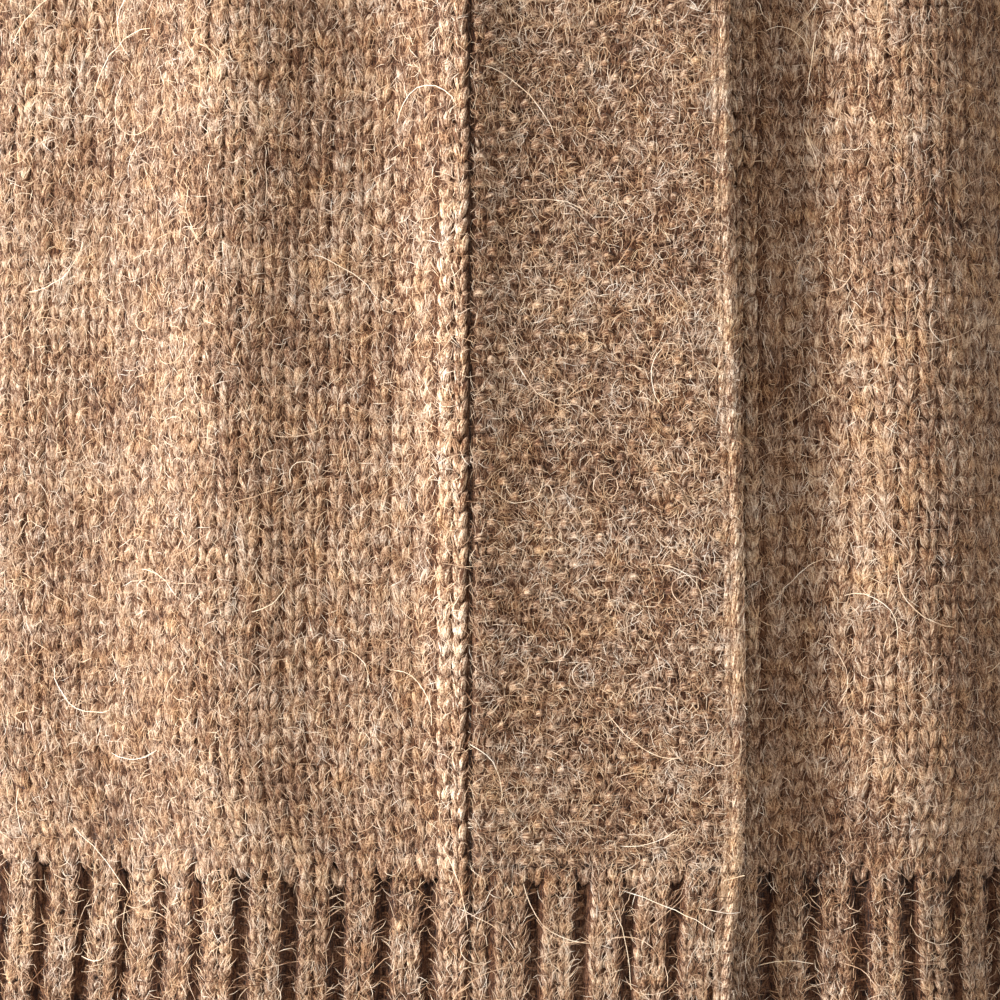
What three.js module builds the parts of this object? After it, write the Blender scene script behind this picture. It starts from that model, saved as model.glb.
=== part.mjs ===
import * as THREE from "three";

// A long knitted coat, closed down the front and filled out as it hangs from the shoulders.
// Millimetres. +Z is up and the front faces -Y, so the wearer's right is at -X.
// Heights are counted from the hem; "up" runs along the cloth, over the shoulder, from the hem.

// Sizes of the coat
const COAT_LENGTH = 900;
const UNDERARM_UP = 640;
const SHOULDER_UP = 962;
const QUARTER_GIRTH = 308;
const GIRTH_CORNER = 2.5;
const DEPTH_TO_WIDTH = 0.57;
const SHOULDER_CORNER = 2.6;
const SHOULDER_DEPTH_TO_RISE = 0.47;
const NECK_HALF_WIDTH = 97;
const SHOULDER_SLOPE = 0.44;
const BACK_NECK_DROP = 68;
const ARMHOLE_INSET = 0.25;
const ARMHOLE_CURVE_UP = 120;

// Sizes of the cloth
const WALL = 3;
const BAND_WALL = 4;
const SEAM_GAP = 0.3;
const ARMHOLE_GAP = 0.45;
const UNDERARM_PULL = 0.3;
const HALF_GAP = SEAM_GAP / 2;
const BAND_WIDTH = 82;
const HALF_BAND = BAND_WIDTH / 2;
const UNDER_BAND_WIDTH = 78;
const BAND_CLEARANCE = 1.3;
const BAND_LIFT = BAND_WALL + BAND_CLEARANCE;
const LIFT_SPREAD = 60;
const LIFT_ENDS_UP = 700;
const LIFT_FADE = 160;
const SELVEDGE_ROLL = 1.6;
const SELVEDGE_SHARPNESS = 8;
const HEM_HEIGHT = 70;
const RIB_RELIEF = 1.9;
const RIB_SHARE = 0.71;
const GROOVE_SHARE = 0.86;
const FRONT_RIBS = 18;
const RIB_FALL = 1.6;
const BAND_GROOVE = 4;
const BACK_RIBS = 42;
const CUFF_RIBS = 17;
const COLLAR_TURN_FROM = 770;
const COLLAR_TURN_TO = 955;
const COLLAR_LEAN_IN = 0.34;
const COLLAR_LEAN_BACK = 0.16;

// How finely the cloth is divided
const FRONT_COLUMNS = 19;
const NECK_COLUMNS = 12;
const SHOULDER_COLUMNS = 8;
const BAND_COLUMNS = 6;
const ARC_SAMPLES = 240;
const STEP = 0.5;

const KNIT_ROUGHNESS = 0.95;
const COAT_COLOUR = 0x9c775a;
const BAND_COLOUR = 0x96704f;
const RIB_COLOUR = 0xa07c5e;

// Half width and half depth of the body at each height
const BODY = [
  { up: 0, halfWidth: 239, halfDepth: 136 },
  { up: 66, halfWidth: 235, halfDepth: 133 },
  { up: 110, halfWidth: 242, halfDepth: 138 },
  { up: 340, halfWidth: 236, halfDepth: 133 },
  { up: 640, halfWidth: 226, halfDepth: 124 },
  { up: 800, halfWidth: 221, halfDepth: 119 },
  { up: 962, halfWidth: 216, halfDepth: 114 },
];

// Where the front edge is sewn to the band, from the centre of the front
const FRONT_EDGE = [
  { up: 0, out: HALF_BAND },
  { up: 400, out: HALF_BAND },
  { up: 480, out: 49 },
  { up: 560, out: 63 },
  { up: 640, out: 76 },
  { up: 740, out: 88 },
  { up: 860, out: 95 },
  { up: 962, out: NECK_HALF_WIDTH },
];

// How deep the folds are at each height
const FOLD_STRENGTH = [
  { up: 0, share: 0.62 },
  { up: 70, share: 0.7 },
  { up: 200, share: 0.86 },
  { up: 340, share: 1 },
  { up: 480, share: 0.9 },
  { up: 620, share: 0.5 },
  { up: 740, share: 0.2 },
  { up: 860, share: 0.05 },
  { up: 962, share: 0 },
];

// Soft folds: where each stands round the coat from centre front, how it leans, its half width and height
const FOLDS = [
  { around: -300, lean: 6, width: 24, rise: 5 },
  { around: -252, lean: 4, width: 22, rise: -6 },
  { around: -206, lean: 2, width: 21, rise: 7 },
  { around: -160, lean: -2, width: 19, rise: -6 },
  { around: -114, lean: -5, width: 17, rise: 7.5 },
  { around: -77, lean: -3, width: 15, rise: -6.5 },
  { around: -45, lean: 0, width: 15, rise: 4 },
  { around: -4, lean: 0, width: 20, rise: -2.2 },
  { around: 36, lean: 0, width: 14, rise: 2.6 },
  { around: 60, lean: 2, width: 13, rise: -5.5 },
  { around: 98, lean: 4, width: 19, rise: 7 },
  { around: 143, lean: 4, width: 20, rise: -6 },
  { around: 190, lean: -3, width: 22, rise: 6 },
  { around: 243, lean: -4, width: 23, rise: -6.5 },
  { around: 296, lean: -6, width: 24, rise: 5.5 },
  { around: 345, lean: -5, width: 26, rise: -6 },
  { around: 400, lean: 3, width: 27, rise: 7 },
  { around: 455, lean: 6, width: 25, rise: -6 },
  { around: 508, lean: 3, width: 26, rise: 6 },
  { around: 560, lean: -4, width: 24, rise: -5 },
  { around: 604, lean: 0, width: 24, rise: 5 },
  { around: -556, lean: 5, width: 25, rise: -6 },
  { around: -500, lean: -4, width: 28, rise: 6.5 },
  { around: -448, lean: -6, width: 24, rise: -5 },
  { around: -398, lean: -2, width: 26, rise: 6 },
  { around: -350, lean: 4, width: 25, rise: -6.5 },
];

// Rings down the left sleeve, by the top line, the under line, the half depth and how far forward
const SLEEVE_RINGS = [
  { topX: 203, topUp: 852, underX: 226, underUp: 640, halfDepth: 67, forward: 0, seam: 1 },
  { topX: 222, topUp: 846.5, underX: 230.5, underUp: 644.5, halfDepth: 68, forward: 0, seam: 0.5 },
  { topX: 246, topUp: 833, underX: 236.5, underUp: 643, halfDepth: 70, forward: 0, seam: 0.15 },
  { topX: 274, topUp: 808, underX: 242, underUp: 633, halfDepth: 71, forward: 0, seam: 0 },
  { topX: 299, topUp: 771, underX: 245, underUp: 615, halfDepth: 71, forward: 1, seam: 0 },
  { topX: 318, topUp: 726, underX: 247.5, underUp: 592, halfDepth: 70, forward: 3, seam: 0 },
  { topX: 332, topUp: 676, underX: 251, underUp: 563, halfDepth: 68, forward: 6, seam: 0 },
  { topX: 342, topUp: 622, underX: 254, underUp: 529, halfDepth: 66, forward: 10, seam: 0 },
  { topX: 350, topUp: 566, underX: 260, underUp: 492, halfDepth: 63, forward: 15, seam: 0 },
  { topX: 355, topUp: 514, underX: 266, underUp: 460, halfDepth: 60, forward: 20, seam: 0 },
  { topX: 358, topUp: 470, underX: 271, underUp: 434, halfDepth: 57, forward: 25, seam: 0 },
  { topX: 358, topUp: 438, underX: 276, underUp: 420, halfDepth: 52, forward: 29, seam: 0 },
  { topX: 354, topUp: 420, underX: 280, underUp: 411, halfDepth: 45, forward: 31, seam: 0 },
];
const CUFF_RINGS = [
  { topX: 354, topUp: 419.5, underX: 280, underUp: 410.5, halfDepth: 45, forward: 31 },
  { topX: 357, topUp: 385, underX: 284.5, underUp: 376, halfDepth: 43.5, forward: 35 },
  { topX: 360.5, topUp: 350, underX: 289, underUp: 341, halfDepth: 43, forward: 39 },
];

// Soft creases across the sleeve: where along it and round it, their sizes and height
const SLEEVE_FOLDS = [
  { along: 4.4, turn: 205, length: 0.8, reach: 50, rise: -6 },
  { along: 5.8, turn: 170, length: 0.7, reach: 60, rise: 5 },
  { along: 7.2, turn: 120, length: 0.8, reach: 60, rise: -5 },
  { along: 8.2, turn: 60, length: 0.8, reach: 60, rise: 4 },
  { along: 9.4, turn: 180, length: 0.7, reach: 70, rise: -4 },
  { along: 10.4, turn: 90, length: 0.6, reach: 90, rise: 3.5 },
  { along: 10.6, turn: 270, length: 0.6, reach: 80, rise: 3.5 },
];

// Ribs across the foot of a band, from its sewn edge; the last and widest is the finished edge
const BAND_RIBS = [
  { from: 7.2, to: 18.6 },
  { from: 21.8, to: 33 },
  { from: 36.4, to: 47.8 },
  { from: 51, to: 61.4 },
  { from: 64.8, to: 81.2 },
];

// Heights of the rows across the fronts and the back
const PANEL_ROWS = [
  70.3, 112, 165, 225, 285, 345, 405, 465, 525, 585, 625, 640, 648, 668, 704, 760, 815, 860, 898, 930, 952,
];

// A smooth curve through one column of a table
function along(table, key, column, value) {
  const last = table.length - 1;
  let i = 0;
  while (i < last - 1 && value > table[i + 1][key]) {
    i += 1;
  }
  const slope = (n) => {
    const before = table[Math.max(0, n - 1)];
    const after = table[Math.min(last, n + 1)];
    return (after[column] - before[column]) / (after[key] - before[key]);
  };
  const span = table[i + 1][key] - table[i][key];
  const t = THREE.MathUtils.clamp((value - table[i][key]) / span, 0, 1);
  const t2 = t * t;
  const t3 = t2 * t;
  return (
    (2 * t3 - 3 * t2 + 1) * table[i][column] +
    (t3 - 2 * t2 + t) * span * slope(i) +
    (3 * t2 - 2 * t3) * table[i + 1][column] +
    (t3 - t2) * span * slope(i + 1)
  );
}

// A rounded quarter turn from (0, 1) to (1, 0), stepped evenly along its length
function quarterTurn(corner, ratio) {
  const points = [];
  let length = 0;
  for (let i = 0; i <= ARC_SAMPLES; i += 1) {
    const angle = (i / ARC_SAMPLES) * (Math.PI / 2);
    const across = Math.abs(Math.sin(angle)) ** (2 / corner);
    const away = Math.abs(Math.cos(angle)) ** (2 / corner);
    const before = points[i - 1];
    length += before ? Math.hypot(across - before.across, ratio * (away - before.away)) : 0;
    points.push({ across, away, length });
  }
  return points;
}

// One column of a quarter turn, read where another column has the share given
function readTurn(points, key, share, column) {
  const target = share * points[ARC_SAMPLES][key];
  let low = 0;
  let high = ARC_SAMPLES;
  while (high - low > 1) {
    const middle = (low + high) >> 1;
    if (points[middle][key] <= target) {
      low = middle;
    } else {
      high = middle;
    }
  }
  const span = points[high][key] - points[low][key];
  const t = THREE.MathUtils.clamp((target - points[low][key]) / span, 0, 1);
  return THREE.MathUtils.lerp(points[low][column], points[high][column], t);
}

const girthTurn = quarterTurn(GIRTH_CORNER, DEPTH_TO_WIDTH);
const shoulderTurn = quarterTurn(SHOULDER_CORNER, SHOULDER_DEPTH_TO_RISE);

// The body before folds. Round is 0 at centre front, 1 at the side seam and 2 at centre back
function bodyForm(side, round, up) {
  const over = (up - UNDERARM_UP) / (SHOULDER_UP - UNDERARM_UP);
  const share = THREE.MathUtils.clamp(over > 1 ? 2 - over : over, 0, 1);
  const rise = readTurn(shoulderTurn, "length", share, "across");
  const arch = readTurn(shoulderTurn, "length", share, "away") * (over > 1 ? -1 : 1);
  const foot = THREE.MathUtils.clamp(up, 0, SHOULDER_UP);
  const folded = round > 1 ? 2 - round : round;
  const turn = THREE.MathUtils.clamp(Math.abs(folded), 0, 1);
  const x = along(BODY, "up", "halfWidth", foot) * readTurn(girthTurn, "length", turn, "across");
  const y = along(BODY, "up", "halfDepth", foot) * readTurn(girthTurn, "length", turn, "away");
  const shoulder = COAT_LENGTH - SHOULDER_SLOPE * Math.max(0, x - NECK_HALF_WIDTH);
  const height = up <= UNDERARM_UP ? up : UNDERARM_UP + rise * (shoulder - UNDERARM_UP);
  const front = round > 1 ? 1 : -1;
  return new THREE.Vector3(side * Math.sign(folded || 1) * x, front * y * arch, height);
}

// How far the folds lift the cloth, with the front that lies on top standing off the one beneath
function foldRise(side, round, up) {
  const around = side * round * QUARTER_GIRTH;
  const share = along(FOLD_STRENGTH, "up", "share", THREE.MathUtils.clamp(up, 0, SHOULDER_UP));
  let rise = 0;
  for (const fold of FOLDS) {
    const middle = fold.around + (fold.lean * up) / UNDERARM_UP;
    const girth = 4 * QUARTER_GIRTH;
    const off = around - middle;
    const away = (off - girth * Math.round(off / girth)) / fold.width;
    rise += fold.rise * Math.exp(-0.5 * away * away);
  }
  return rise * share;
}

function bandLift(up) {
  return BAND_LIFT * (1 - THREE.MathUtils.smoothstep(up, LIFT_ENDS_UP, LIFT_ENDS_UP + LIFT_FADE));
}

function panelLift(side, round, up) {
  const off = round * QUARTER_GIRTH - frontEdge(up) * QUARTER_GIRTH;
  const near = 1 - THREE.MathUtils.smoothstep(off, 0, LIFT_SPREAD);
  return side < 0 && round < 1 ? bandLift(up) * near : 0;
}

// The surface normal of any cloth given as a function of two cloth distances
function normalOf(surface, u, v, stepU, stepV) {
  const acrossU = surface(u + stepU, v).sub(surface(u - stepU, v));
  const acrossV = surface(u, v + stepV).sub(surface(u, v - stepV));
  return acrossU.cross(acrossV).normalize();
}

const ROUND_STEP = STEP / QUARTER_GIRTH;

// A point on the folded body, sunk below the outer face by a depth
function bodyPoint(side, round, up, depth) {
  const form = (r, q) => bodyForm(side, r, q);
  const folded = (r, q) => {
    const out = normalOf(form, r, q, ROUND_STEP, STEP).multiplyScalar(side);
    return form(r, q).addScaledVector(out, foldRise(side, r, q) + panelLift(side, r, q));
  };
  const normal = normalOf(folded, round, up, ROUND_STEP, STEP).multiplyScalar(side);
  return folded(round, up).addScaledVector(normal, -depth);
}

// Where round the coat a place lies that stands so far out from the centre
function roundAt(out, up) {
  const share = Math.abs(out) / along(BODY, "up", "halfWidth", up);
  return readTurn(girthTurn, "across", share, "length") / girthTurn[ARC_SAMPLES].length;
}

function frontEdge(up) {
  return roundAt(along(FRONT_EDGE, "up", "out", up), up);
}

function armholeInset(up) {
  const share = THREE.MathUtils.clamp((up - UNDERARM_UP) / ARMHOLE_CURVE_UP, 0, 1);
  return ARMHOLE_INSET * Math.sqrt(1 - (1 - share) ** 2);
}

// A closed wall between an outer and an inner net of points, with rims round its open edges
function clothWall(name, outer, inner, closed, colour) {
  const rows = outer.length;
  const columns = outer[0].length;
  const positions = [];
  for (const net of [outer, inner]) {
    for (const row of net) {
      for (const p of row) {
        positions.push(p.x, p.y, p.z - COAT_LENGTH);
      }
    }
  }
  const outside = (r, c) => r * columns + (c % columns);
  const inside = (r, c) => rows * columns + outside(r, c);
  const faces = [];
  const quad = (a, b, c, d) => faces.push(a, b, c, a, c, d);
  const spans = closed ? columns : columns - 1;
  for (let r = 0; r < rows - 1; r += 1) {
    for (let c = 0; c < spans; c += 1) {
      quad(outside(r, c), outside(r, c + 1), outside(r + 1, c + 1), outside(r + 1, c));
      quad(inside(r, c), inside(r + 1, c), inside(r + 1, c + 1), inside(r, c + 1));
    }
  }
  for (let c = 0; c < spans; c += 1) {
    quad(outside(0, c), inside(0, c), inside(0, c + 1), outside(0, c + 1));
    quad(outside(rows - 1, c + 1), inside(rows - 1, c + 1), inside(rows - 1, c), outside(rows - 1, c));
  }
  for (let r = 0; r < rows - 1 && !closed; r += 1) {
    quad(outside(r, 0), outside(r + 1, 0), inside(r + 1, 0), inside(r, 0));
    quad(outside(r, spans), inside(r, spans), inside(r + 1, spans), outside(r + 1, spans));
  }
  const geometry = new THREE.BufferGeometry();
  geometry.setAttribute("position", new THREE.Float32BufferAttribute(positions, 3));
  geometry.setIndex(faces);
  geometry.computeVertexNormals();
  const material = new THREE.MeshStandardMaterial({ color: colour, roughness: KNIT_ROUGHNESS, metalness: 0 });
  const mesh = new THREE.Mesh(geometry, material);
  mesh.name = name;
  return mesh;
}

// Columns run in the direction that keeps the outer face outward
function ordered(side, list) {
  return side > 0 ? list : [...list].reverse();
}

function evenly(count) {
  return Array.from({ length: count + 1 }, (_, i) => i / count);
}

const sideName = (side) => (side < 0 ? "right" : "left");

// Each front: from its band to the side seam, then in round the armhole to the shoulder seam
function frontPanel(side) {
  const rows = [...PANEL_ROWS, SHOULDER_UP - HALF_GAP];
  const net = (depth) =>
    rows.map((up) => {
      const start = frontEdge(up) + HALF_GAP / QUARTER_GIRTH;
      const end = 1 - armholeInset(up) - HALF_GAP / QUARTER_GIRTH;
      return ordered(side, evenly(FRONT_COLUMNS)).map((share) =>
        share === 0
          ? bandSeam(side, up, depth)
          : bodyPoint(side, THREE.MathUtils.lerp(start, end, share), up, depth),
      );
    });
  return clothWall(`front_${sideName(side)}`, net(0), net(WALL), false, COAT_COLOUR);
}

// The top of the back: shoulder seams, with a shallow round neck between them
function backTop(share) {
  const off = Math.min(1, Math.abs(share));
  return SHOULDER_UP - HALF_GAP - BACK_NECK_DROP * Math.sqrt(1 - off * off);
}

function backPanel() {
  const neck = frontEdge(SHOULDER_UP) / (1 - ARMHOLE_INSET);
  const shoulder = evenly(SHOULDER_COLUMNS).map((share) => THREE.MathUtils.lerp(neck, 1, share));
  const middle = evenly(NECK_COLUMNS).map((share) => -neck * Math.cos(Math.PI * share));
  const columns = [...shoulder.map((c) => -c).reverse(), ...middle.slice(1, -1), ...shoulder];
  const rows = [...PANEL_ROWS, SHOULDER_UP - HALF_GAP];
  const top = rows[rows.length - 1];
  const net = (depth) =>
    rows.map((row) =>
      columns.map((column) => {
        const reach = 1 - armholeInset(row) - HALF_GAP / QUARTER_GIRTH;
        const raised = Math.max(0, row - UNDERARM_UP) / (top - UNDERARM_UP);
        const up = row + raised * (backTop(column / neck) - top);
        const side = column < 0 ? 1 : -1;
        return bodyPoint(side, 2 - Math.abs(column) * reach, up, depth);
      }),
    );
  return clothWall("back", net(0), net(WALL), false, COAT_COLOUR);
}

// Ribs: the two shoulders of each raised column, then the foot of the groove beside it
function ribColumns(count) {
  const columns = [];
  for (let i = 0; i < count; i += 1) {
    columns.push({ share: i / count, high: true });
    columns.push({ share: (i + RIB_SHARE) / count, high: true });
    columns.push({ share: (i + GROOVE_SHARE) / count, high: false });
  }
  columns.push({ share: 1, high: true });
  return columns;
}

function hemPiece(name, side, from, to, ribs) {
  const rows = [0, HEM_HEIGHT / 2, HEM_HEIGHT];
  const net = (high, low) =>
    rows.map((up) =>
      ordered(side, ribColumns(ribs)).map((column) => {
        const round = THREE.MathUtils.lerp(from, to, column.share);
        const half = round > 2 ? -side : side;
        const depth = column.high ? high : low;
        return column.share === 0 && from < 1
          ? bandSeam(side, up, depth)
          : bodyPoint(half, round > 2 ? 4 - round : round, up, depth);
      }),
    );
  return clothWall(name, net(-RIB_RELIEF / 2, RIB_RELIEF / 2), net(WALL, WALL), false, RIB_COLOUR);
}

// A place on the line a band is sewn to, with the directions across the band and out of its face
function bandFrame(side, up) {
  const edge = (q) => bodyPoint(side, frontEdge(Math.min(q, SHOULDER_UP)), q, 0);
  const tangent = edge(up + STEP).sub(edge(up - STEP)).normalize();
  const share = THREE.MathUtils.smoothstep(up, COLLAR_TURN_FROM, COLLAR_TURN_TO);
  const flat = new THREE.Vector3(-side, 0, 0);
  const standing = new THREE.Vector3(-side * COLLAR_LEAN_IN, 0, 1);
  return squaredFrame(edge(up), tangent, flat.lerp(standing, share), side);
}

function squaredFrame(at, tangent, toward, side) {
  const across = toward.addScaledVector(tangent, -toward.dot(tangent)).normalize();
  const face = new THREE.Vector3().crossVectors(tangent, across).multiplyScalar(side).normalize();
  return { at, across, face };
}

// The front's own edge along that line, cut square to the band's face
function bandSeam(side, up, depth) {
  const { at, across, face } = bandFrame(side, up);
  return at.addScaledVector(across, -HALF_GAP).addScaledVector(face, -depth);
}

function turnedFrame(at, tangent, out, side, turn) {
  const inward = new THREE.Vector3().crossVectors(tangent, out).multiplyScalar(-side).normalize();
  const across = inward.multiplyScalar(Math.cos(turn)).addScaledVector(out, Math.sin(turn));
  const face = new THREE.Vector3().crossVectors(tangent, across).multiplyScalar(side).normalize();
  return { at, across, face };
}

// The folds of the front under the band, less their height at its sewn edge
function bandFold(side, width, up) {
  const edge = along(FRONT_EDGE, "up", "out", up);
  const middle = side * (edge - width);
  const rise = foldRise(Math.sign(middle) || 1, roundAt(middle, up), up);
  return rise - foldRise(side, roundAt(edge, up), up);
}

function bandPoint(side, width, up, depth) {
  const { at, across, face } = bandFrame(side, up);
  const out = bandFold(side, width, up) - depth;
  return at.addScaledVector(across, HALF_GAP + width).addScaledVector(face, out);
}

// Each front band: the selvedge at its free edge stands a little proud
function frontBand(side) {
  const rows = [...PANEL_ROWS, SHOULDER_UP - HALF_GAP];
  const wide = (side < 0 ? BAND_WIDTH : UNDER_BAND_WIDTH) - SEAM_GAP;
  const net = (depth, roll) =>
    rows.map((up) =>
      ordered(-side, evenly(BAND_COLUMNS)).map((share) => {
        return bandPoint(side, share * wide, up, depth - roll * share ** SELVEDGE_SHARPNESS);
      }),
    );
  const name = `band_${sideName(side)}`;
  return clothWall(name, net(0, side < 0 ? SELVEDGE_ROLL : 0), net(BAND_WALL, 0), false, BAND_COLOUR);
}

// The foot of each band is ribbed like the hem
function bandFoot(side) {
  const columns = [{ width: 0, high: false }, { width: BAND_GROOVE, high: false }];
  for (const rib of BAND_RIBS) {
    columns.push({ width: rib.from, high: true });
    columns.push({ width: rib.to, high: true });
    columns.push({ width: rib.to + RIB_FALL, high: false });
  }
  columns.pop();
  columns[columns.length - 1].width = side < 0 ? BAND_WIDTH - SEAM_GAP : UNDER_BAND_WIDTH - SEAM_GAP;
  const drop = side < 0 ? RIB_RELIEF / 2 : RIB_RELIEF;
  const net = (high, low) =>
    [0, HEM_HEIGHT / 2, HEM_HEIGHT].map((up) =>
      ordered(-side, columns).map((column) =>
        bandPoint(side, column.width, up, column.high ? high : low),
      ),
    );
  const outer = net(drop - RIB_RELIEF, drop);
  return clothWall(`band_rib_${sideName(side)}`, outer, net(BAND_WALL, BAND_WALL), false, RIB_COLOUR);
}

// The collar carries the bands on round the back of the neck, standing
function collar() {
  const neck = frontEdge(SHOULDER_UP);
  const place = (angle) => {
    const share = -Math.cos(angle);
    const side = share < 0 ? -1 : 1;
    return bodyPoint(side, 2 - Math.abs(share) * neck, backTop(share) + HALF_GAP, 0);
  };
  const inset = SEAM_GAP / BACK_NECK_DROP / Math.PI;
  const angles = evenly(NECK_COLUMNS).map((share) => Math.PI * THREE.MathUtils.clamp(share, inset, 1 - inset));
  const net = (depth) =>
    angles.map((angle) => {
      const tangent = place(angle + inset).sub(place(angle - inset)).normalize();
      const lean = COLLAR_LEAN_IN * Math.cos(angle);
      const toward = new THREE.Vector3(lean, COLLAR_LEAN_BACK * Math.sin(angle), 1);
      const { at, across, face } = squaredFrame(place(angle), tangent, toward, -1);
      return evenly(BAND_COLUMNS).map((share) =>
        at
          .clone()
          .addScaledVector(across, SEAM_GAP + share * (BAND_WIDTH - SEAM_GAP))
          .addScaledVector(face, -depth),
      );
    });
  return clothWall("collar", net(0), net(BAND_WALL), false, BAND_COLOUR);
}

// The armhole's front edge from the underarm up to the shoulder, at the rows of the fronts
function armholeEdge() {
  const rows = [...PANEL_ROWS.filter((up) => up >= UNDERARM_UP), SHOULDER_UP];
  let length = 0;
  let before = null;
  const edge = rows.map((up) => {
    const place = bodyForm(1, 1 - armholeInset(up), up);
    length += before ? place.distanceTo(before) : 0;
    before = place;
    return { up, length };
  });
  return edge.map(({ up, length: far }) => ({ up, turn: Math.PI * (1 - far / length) }));
}

// Sleeve columns, from the shoulder down the front, under the arm and up the back
function sleeveColumns() {
  const front = armholeEdge().reverse().map(({ up, turn }) => ({ up, turn, front: 1 }));
  const back = front.slice(1, -1).map(({ up, turn }) => ({ up, turn: 2 * Math.PI - turn, front: -1 }));
  return [...front, ...back.reverse()];
}

function armholePoint(side, column, depth) {
  const inset = armholeInset(column.up);
  return bodyPoint(side, 1 - column.front * inset, column.up, depth);
}

// The first ring of a sleeve: the armhole edge moved a seam's gap along the cloth, off the body
function armholeRing(side, columns, depth) {
  return columns.map((column, n) => {
    const before = columns[(n + columns.length - 1) % columns.length];
    const after = columns[(n + 1) % columns.length];
    const along = armholePoint(side, after, 0).sub(armholePoint(side, before, 0));
    const wall = armholePoint(side, column, 0).sub(armholePoint(side, column, WALL));
    const off = along.cross(wall).normalize();
    const away = off.x * side + UNDERARM_PULL * off.z < 0 ? -ARMHOLE_GAP : ARMHOLE_GAP;
    return armholePoint(side, column, depth).addScaledVector(off, away);
  });
}

function ringValue(rings, column, at) {
  const table = rings.map((ring, n) => ({ n, value: ring[column] }));
  return along(table, "n", "value", at);
}

// A point on a ring of a sleeve or cuff; turn is 0 at the top line and goes down the front
function ringPoint(rings, side, turn, at) {
  const value = (column) => ringValue(rings, column, at);
  const middleX = (value("topX") + value("underX")) / 2;
  const middleUp = (value("topUp") + value("underUp")) / 2;
  const cos = Math.cos(turn);
  return new THREE.Vector3(
    side * (middleX + cos * (value("topX") - middleX)),
    -value("forward") - Math.sin(turn) * value("halfDepth"),
    middleUp + cos * (value("topUp") - middleUp),
  );
}

function sleeveFold(turn, at) {
  let rise = 0;
  for (const fold of SLEEVE_FOLDS) {
    const off = THREE.MathUtils.radToDeg(turn) - fold.turn;
    const away = (off - 360 * Math.round(off / 360)) / fold.reach;
    const down = (at - fold.along) / fold.length;
    rise += fold.rise * Math.exp(-0.5 * (away * away + down * down));
  }
  return rise;
}

// A sleeve point before its wall is thickened: at the armhole it takes the armhole's own shape
function sleevePoint(side, column, at) {
  const seam = Math.max(0, ringValue(SLEEVE_RINGS, "seam", at));
  const plain = ringPoint(SLEEVE_RINGS, side, column.turn, at);
  const first = ringPoint(SLEEVE_RINGS, side, column.turn, 0);
  const shift = armholePoint(side, column, 0).sub(first).multiplyScalar(seam);
  const across = ringPoint(SLEEVE_RINGS, side, column.turn + Math.PI, at);
  const out = plain.clone().sub(across).normalize();
  return plain.add(shift).addScaledVector(out, sleeveFold(column.turn, at));
}

// The inner net of a tube lies a wall's depth inside each point, square to its neighbours
function sunkNet(side, net, depth) {
  const last = net.length - 1;
  return net.map((row, r) =>
    row.map((point, c) => {
      const wide = row.length;
      const acrossU = row[(c + 1) % wide].clone().sub(row[(c + wide - 1) % wide]);
      const acrossV = net[Math.min(last, r + 1)][c].clone().sub(net[Math.max(0, r - 1)][c]);
      return point.clone().addScaledVector(acrossU.cross(acrossV).normalize(), -depth);
    }),
  );
}

// Each sleeve
function sleeve(side) {
  const columns = ordered(side, sleeveColumns());
  const rows = SLEEVE_RINGS.map((_, n) => n).slice(1);
  const outer = [
    armholeRing(side, columns, 0),
    ...rows.map((at) => columns.map((column) => sleevePoint(side, column, at))),
  ];
  const inner = [armholeRing(side, columns, WALL), ...sunkNet(side, outer, WALL).slice(1)];
  return clothWall(`sleeve_${sideName(side)}`, outer, inner, true, COAT_COLOUR);
}

// Each cuff is ribbed all round and drawn in
function cuff(side) {
  const columns = ordered(side, ribColumns(CUFF_RIBS).slice(0, -1));
  const rows = CUFF_RINGS.map((_, n) => n);
  const middle = rows.map((at) =>
    columns.map(({ share }) => ringPoint(CUFF_RINGS, side, share * 2 * Math.PI, at)),
  );
  const raised = sunkNet(side, middle, -RIB_RELIEF / 2);
  const grooved = sunkNet(side, middle, RIB_RELIEF / 2);
  const outer = rows.map((r) => columns.map(({ high }, c) => (high ? raised[r][c] : grooved[r][c])));
  const inner = sunkNet(side, middle, WALL);
  return clothWall(`cuff_${sideName(side)}`, outer, inner, true, RIB_COLOUR);
}

const group = new THREE.Group();
for (const side of [-1, 1]) {
  const start = frontEdge(0) + HALF_GAP / QUARTER_GIRTH;
  const end = 1 - HALF_GAP / QUARTER_GIRTH;
  group.add(frontPanel(side));
  group.add(hemPiece(`hem_${sideName(side)}`, side, start, end, FRONT_RIBS));
  group.add(frontBand(side));
  group.add(bandFoot(side));
  group.add(sleeve(side));
  group.add(cuff(side));
}
group.add(backPanel());
group.add(hemPiece("hem_back", 1, 1 + HALF_GAP / QUARTER_GIRTH, 3 - HALF_GAP / QUARTER_GIRTH, BACK_RIBS));
group.add(collar());

export default group;
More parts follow.
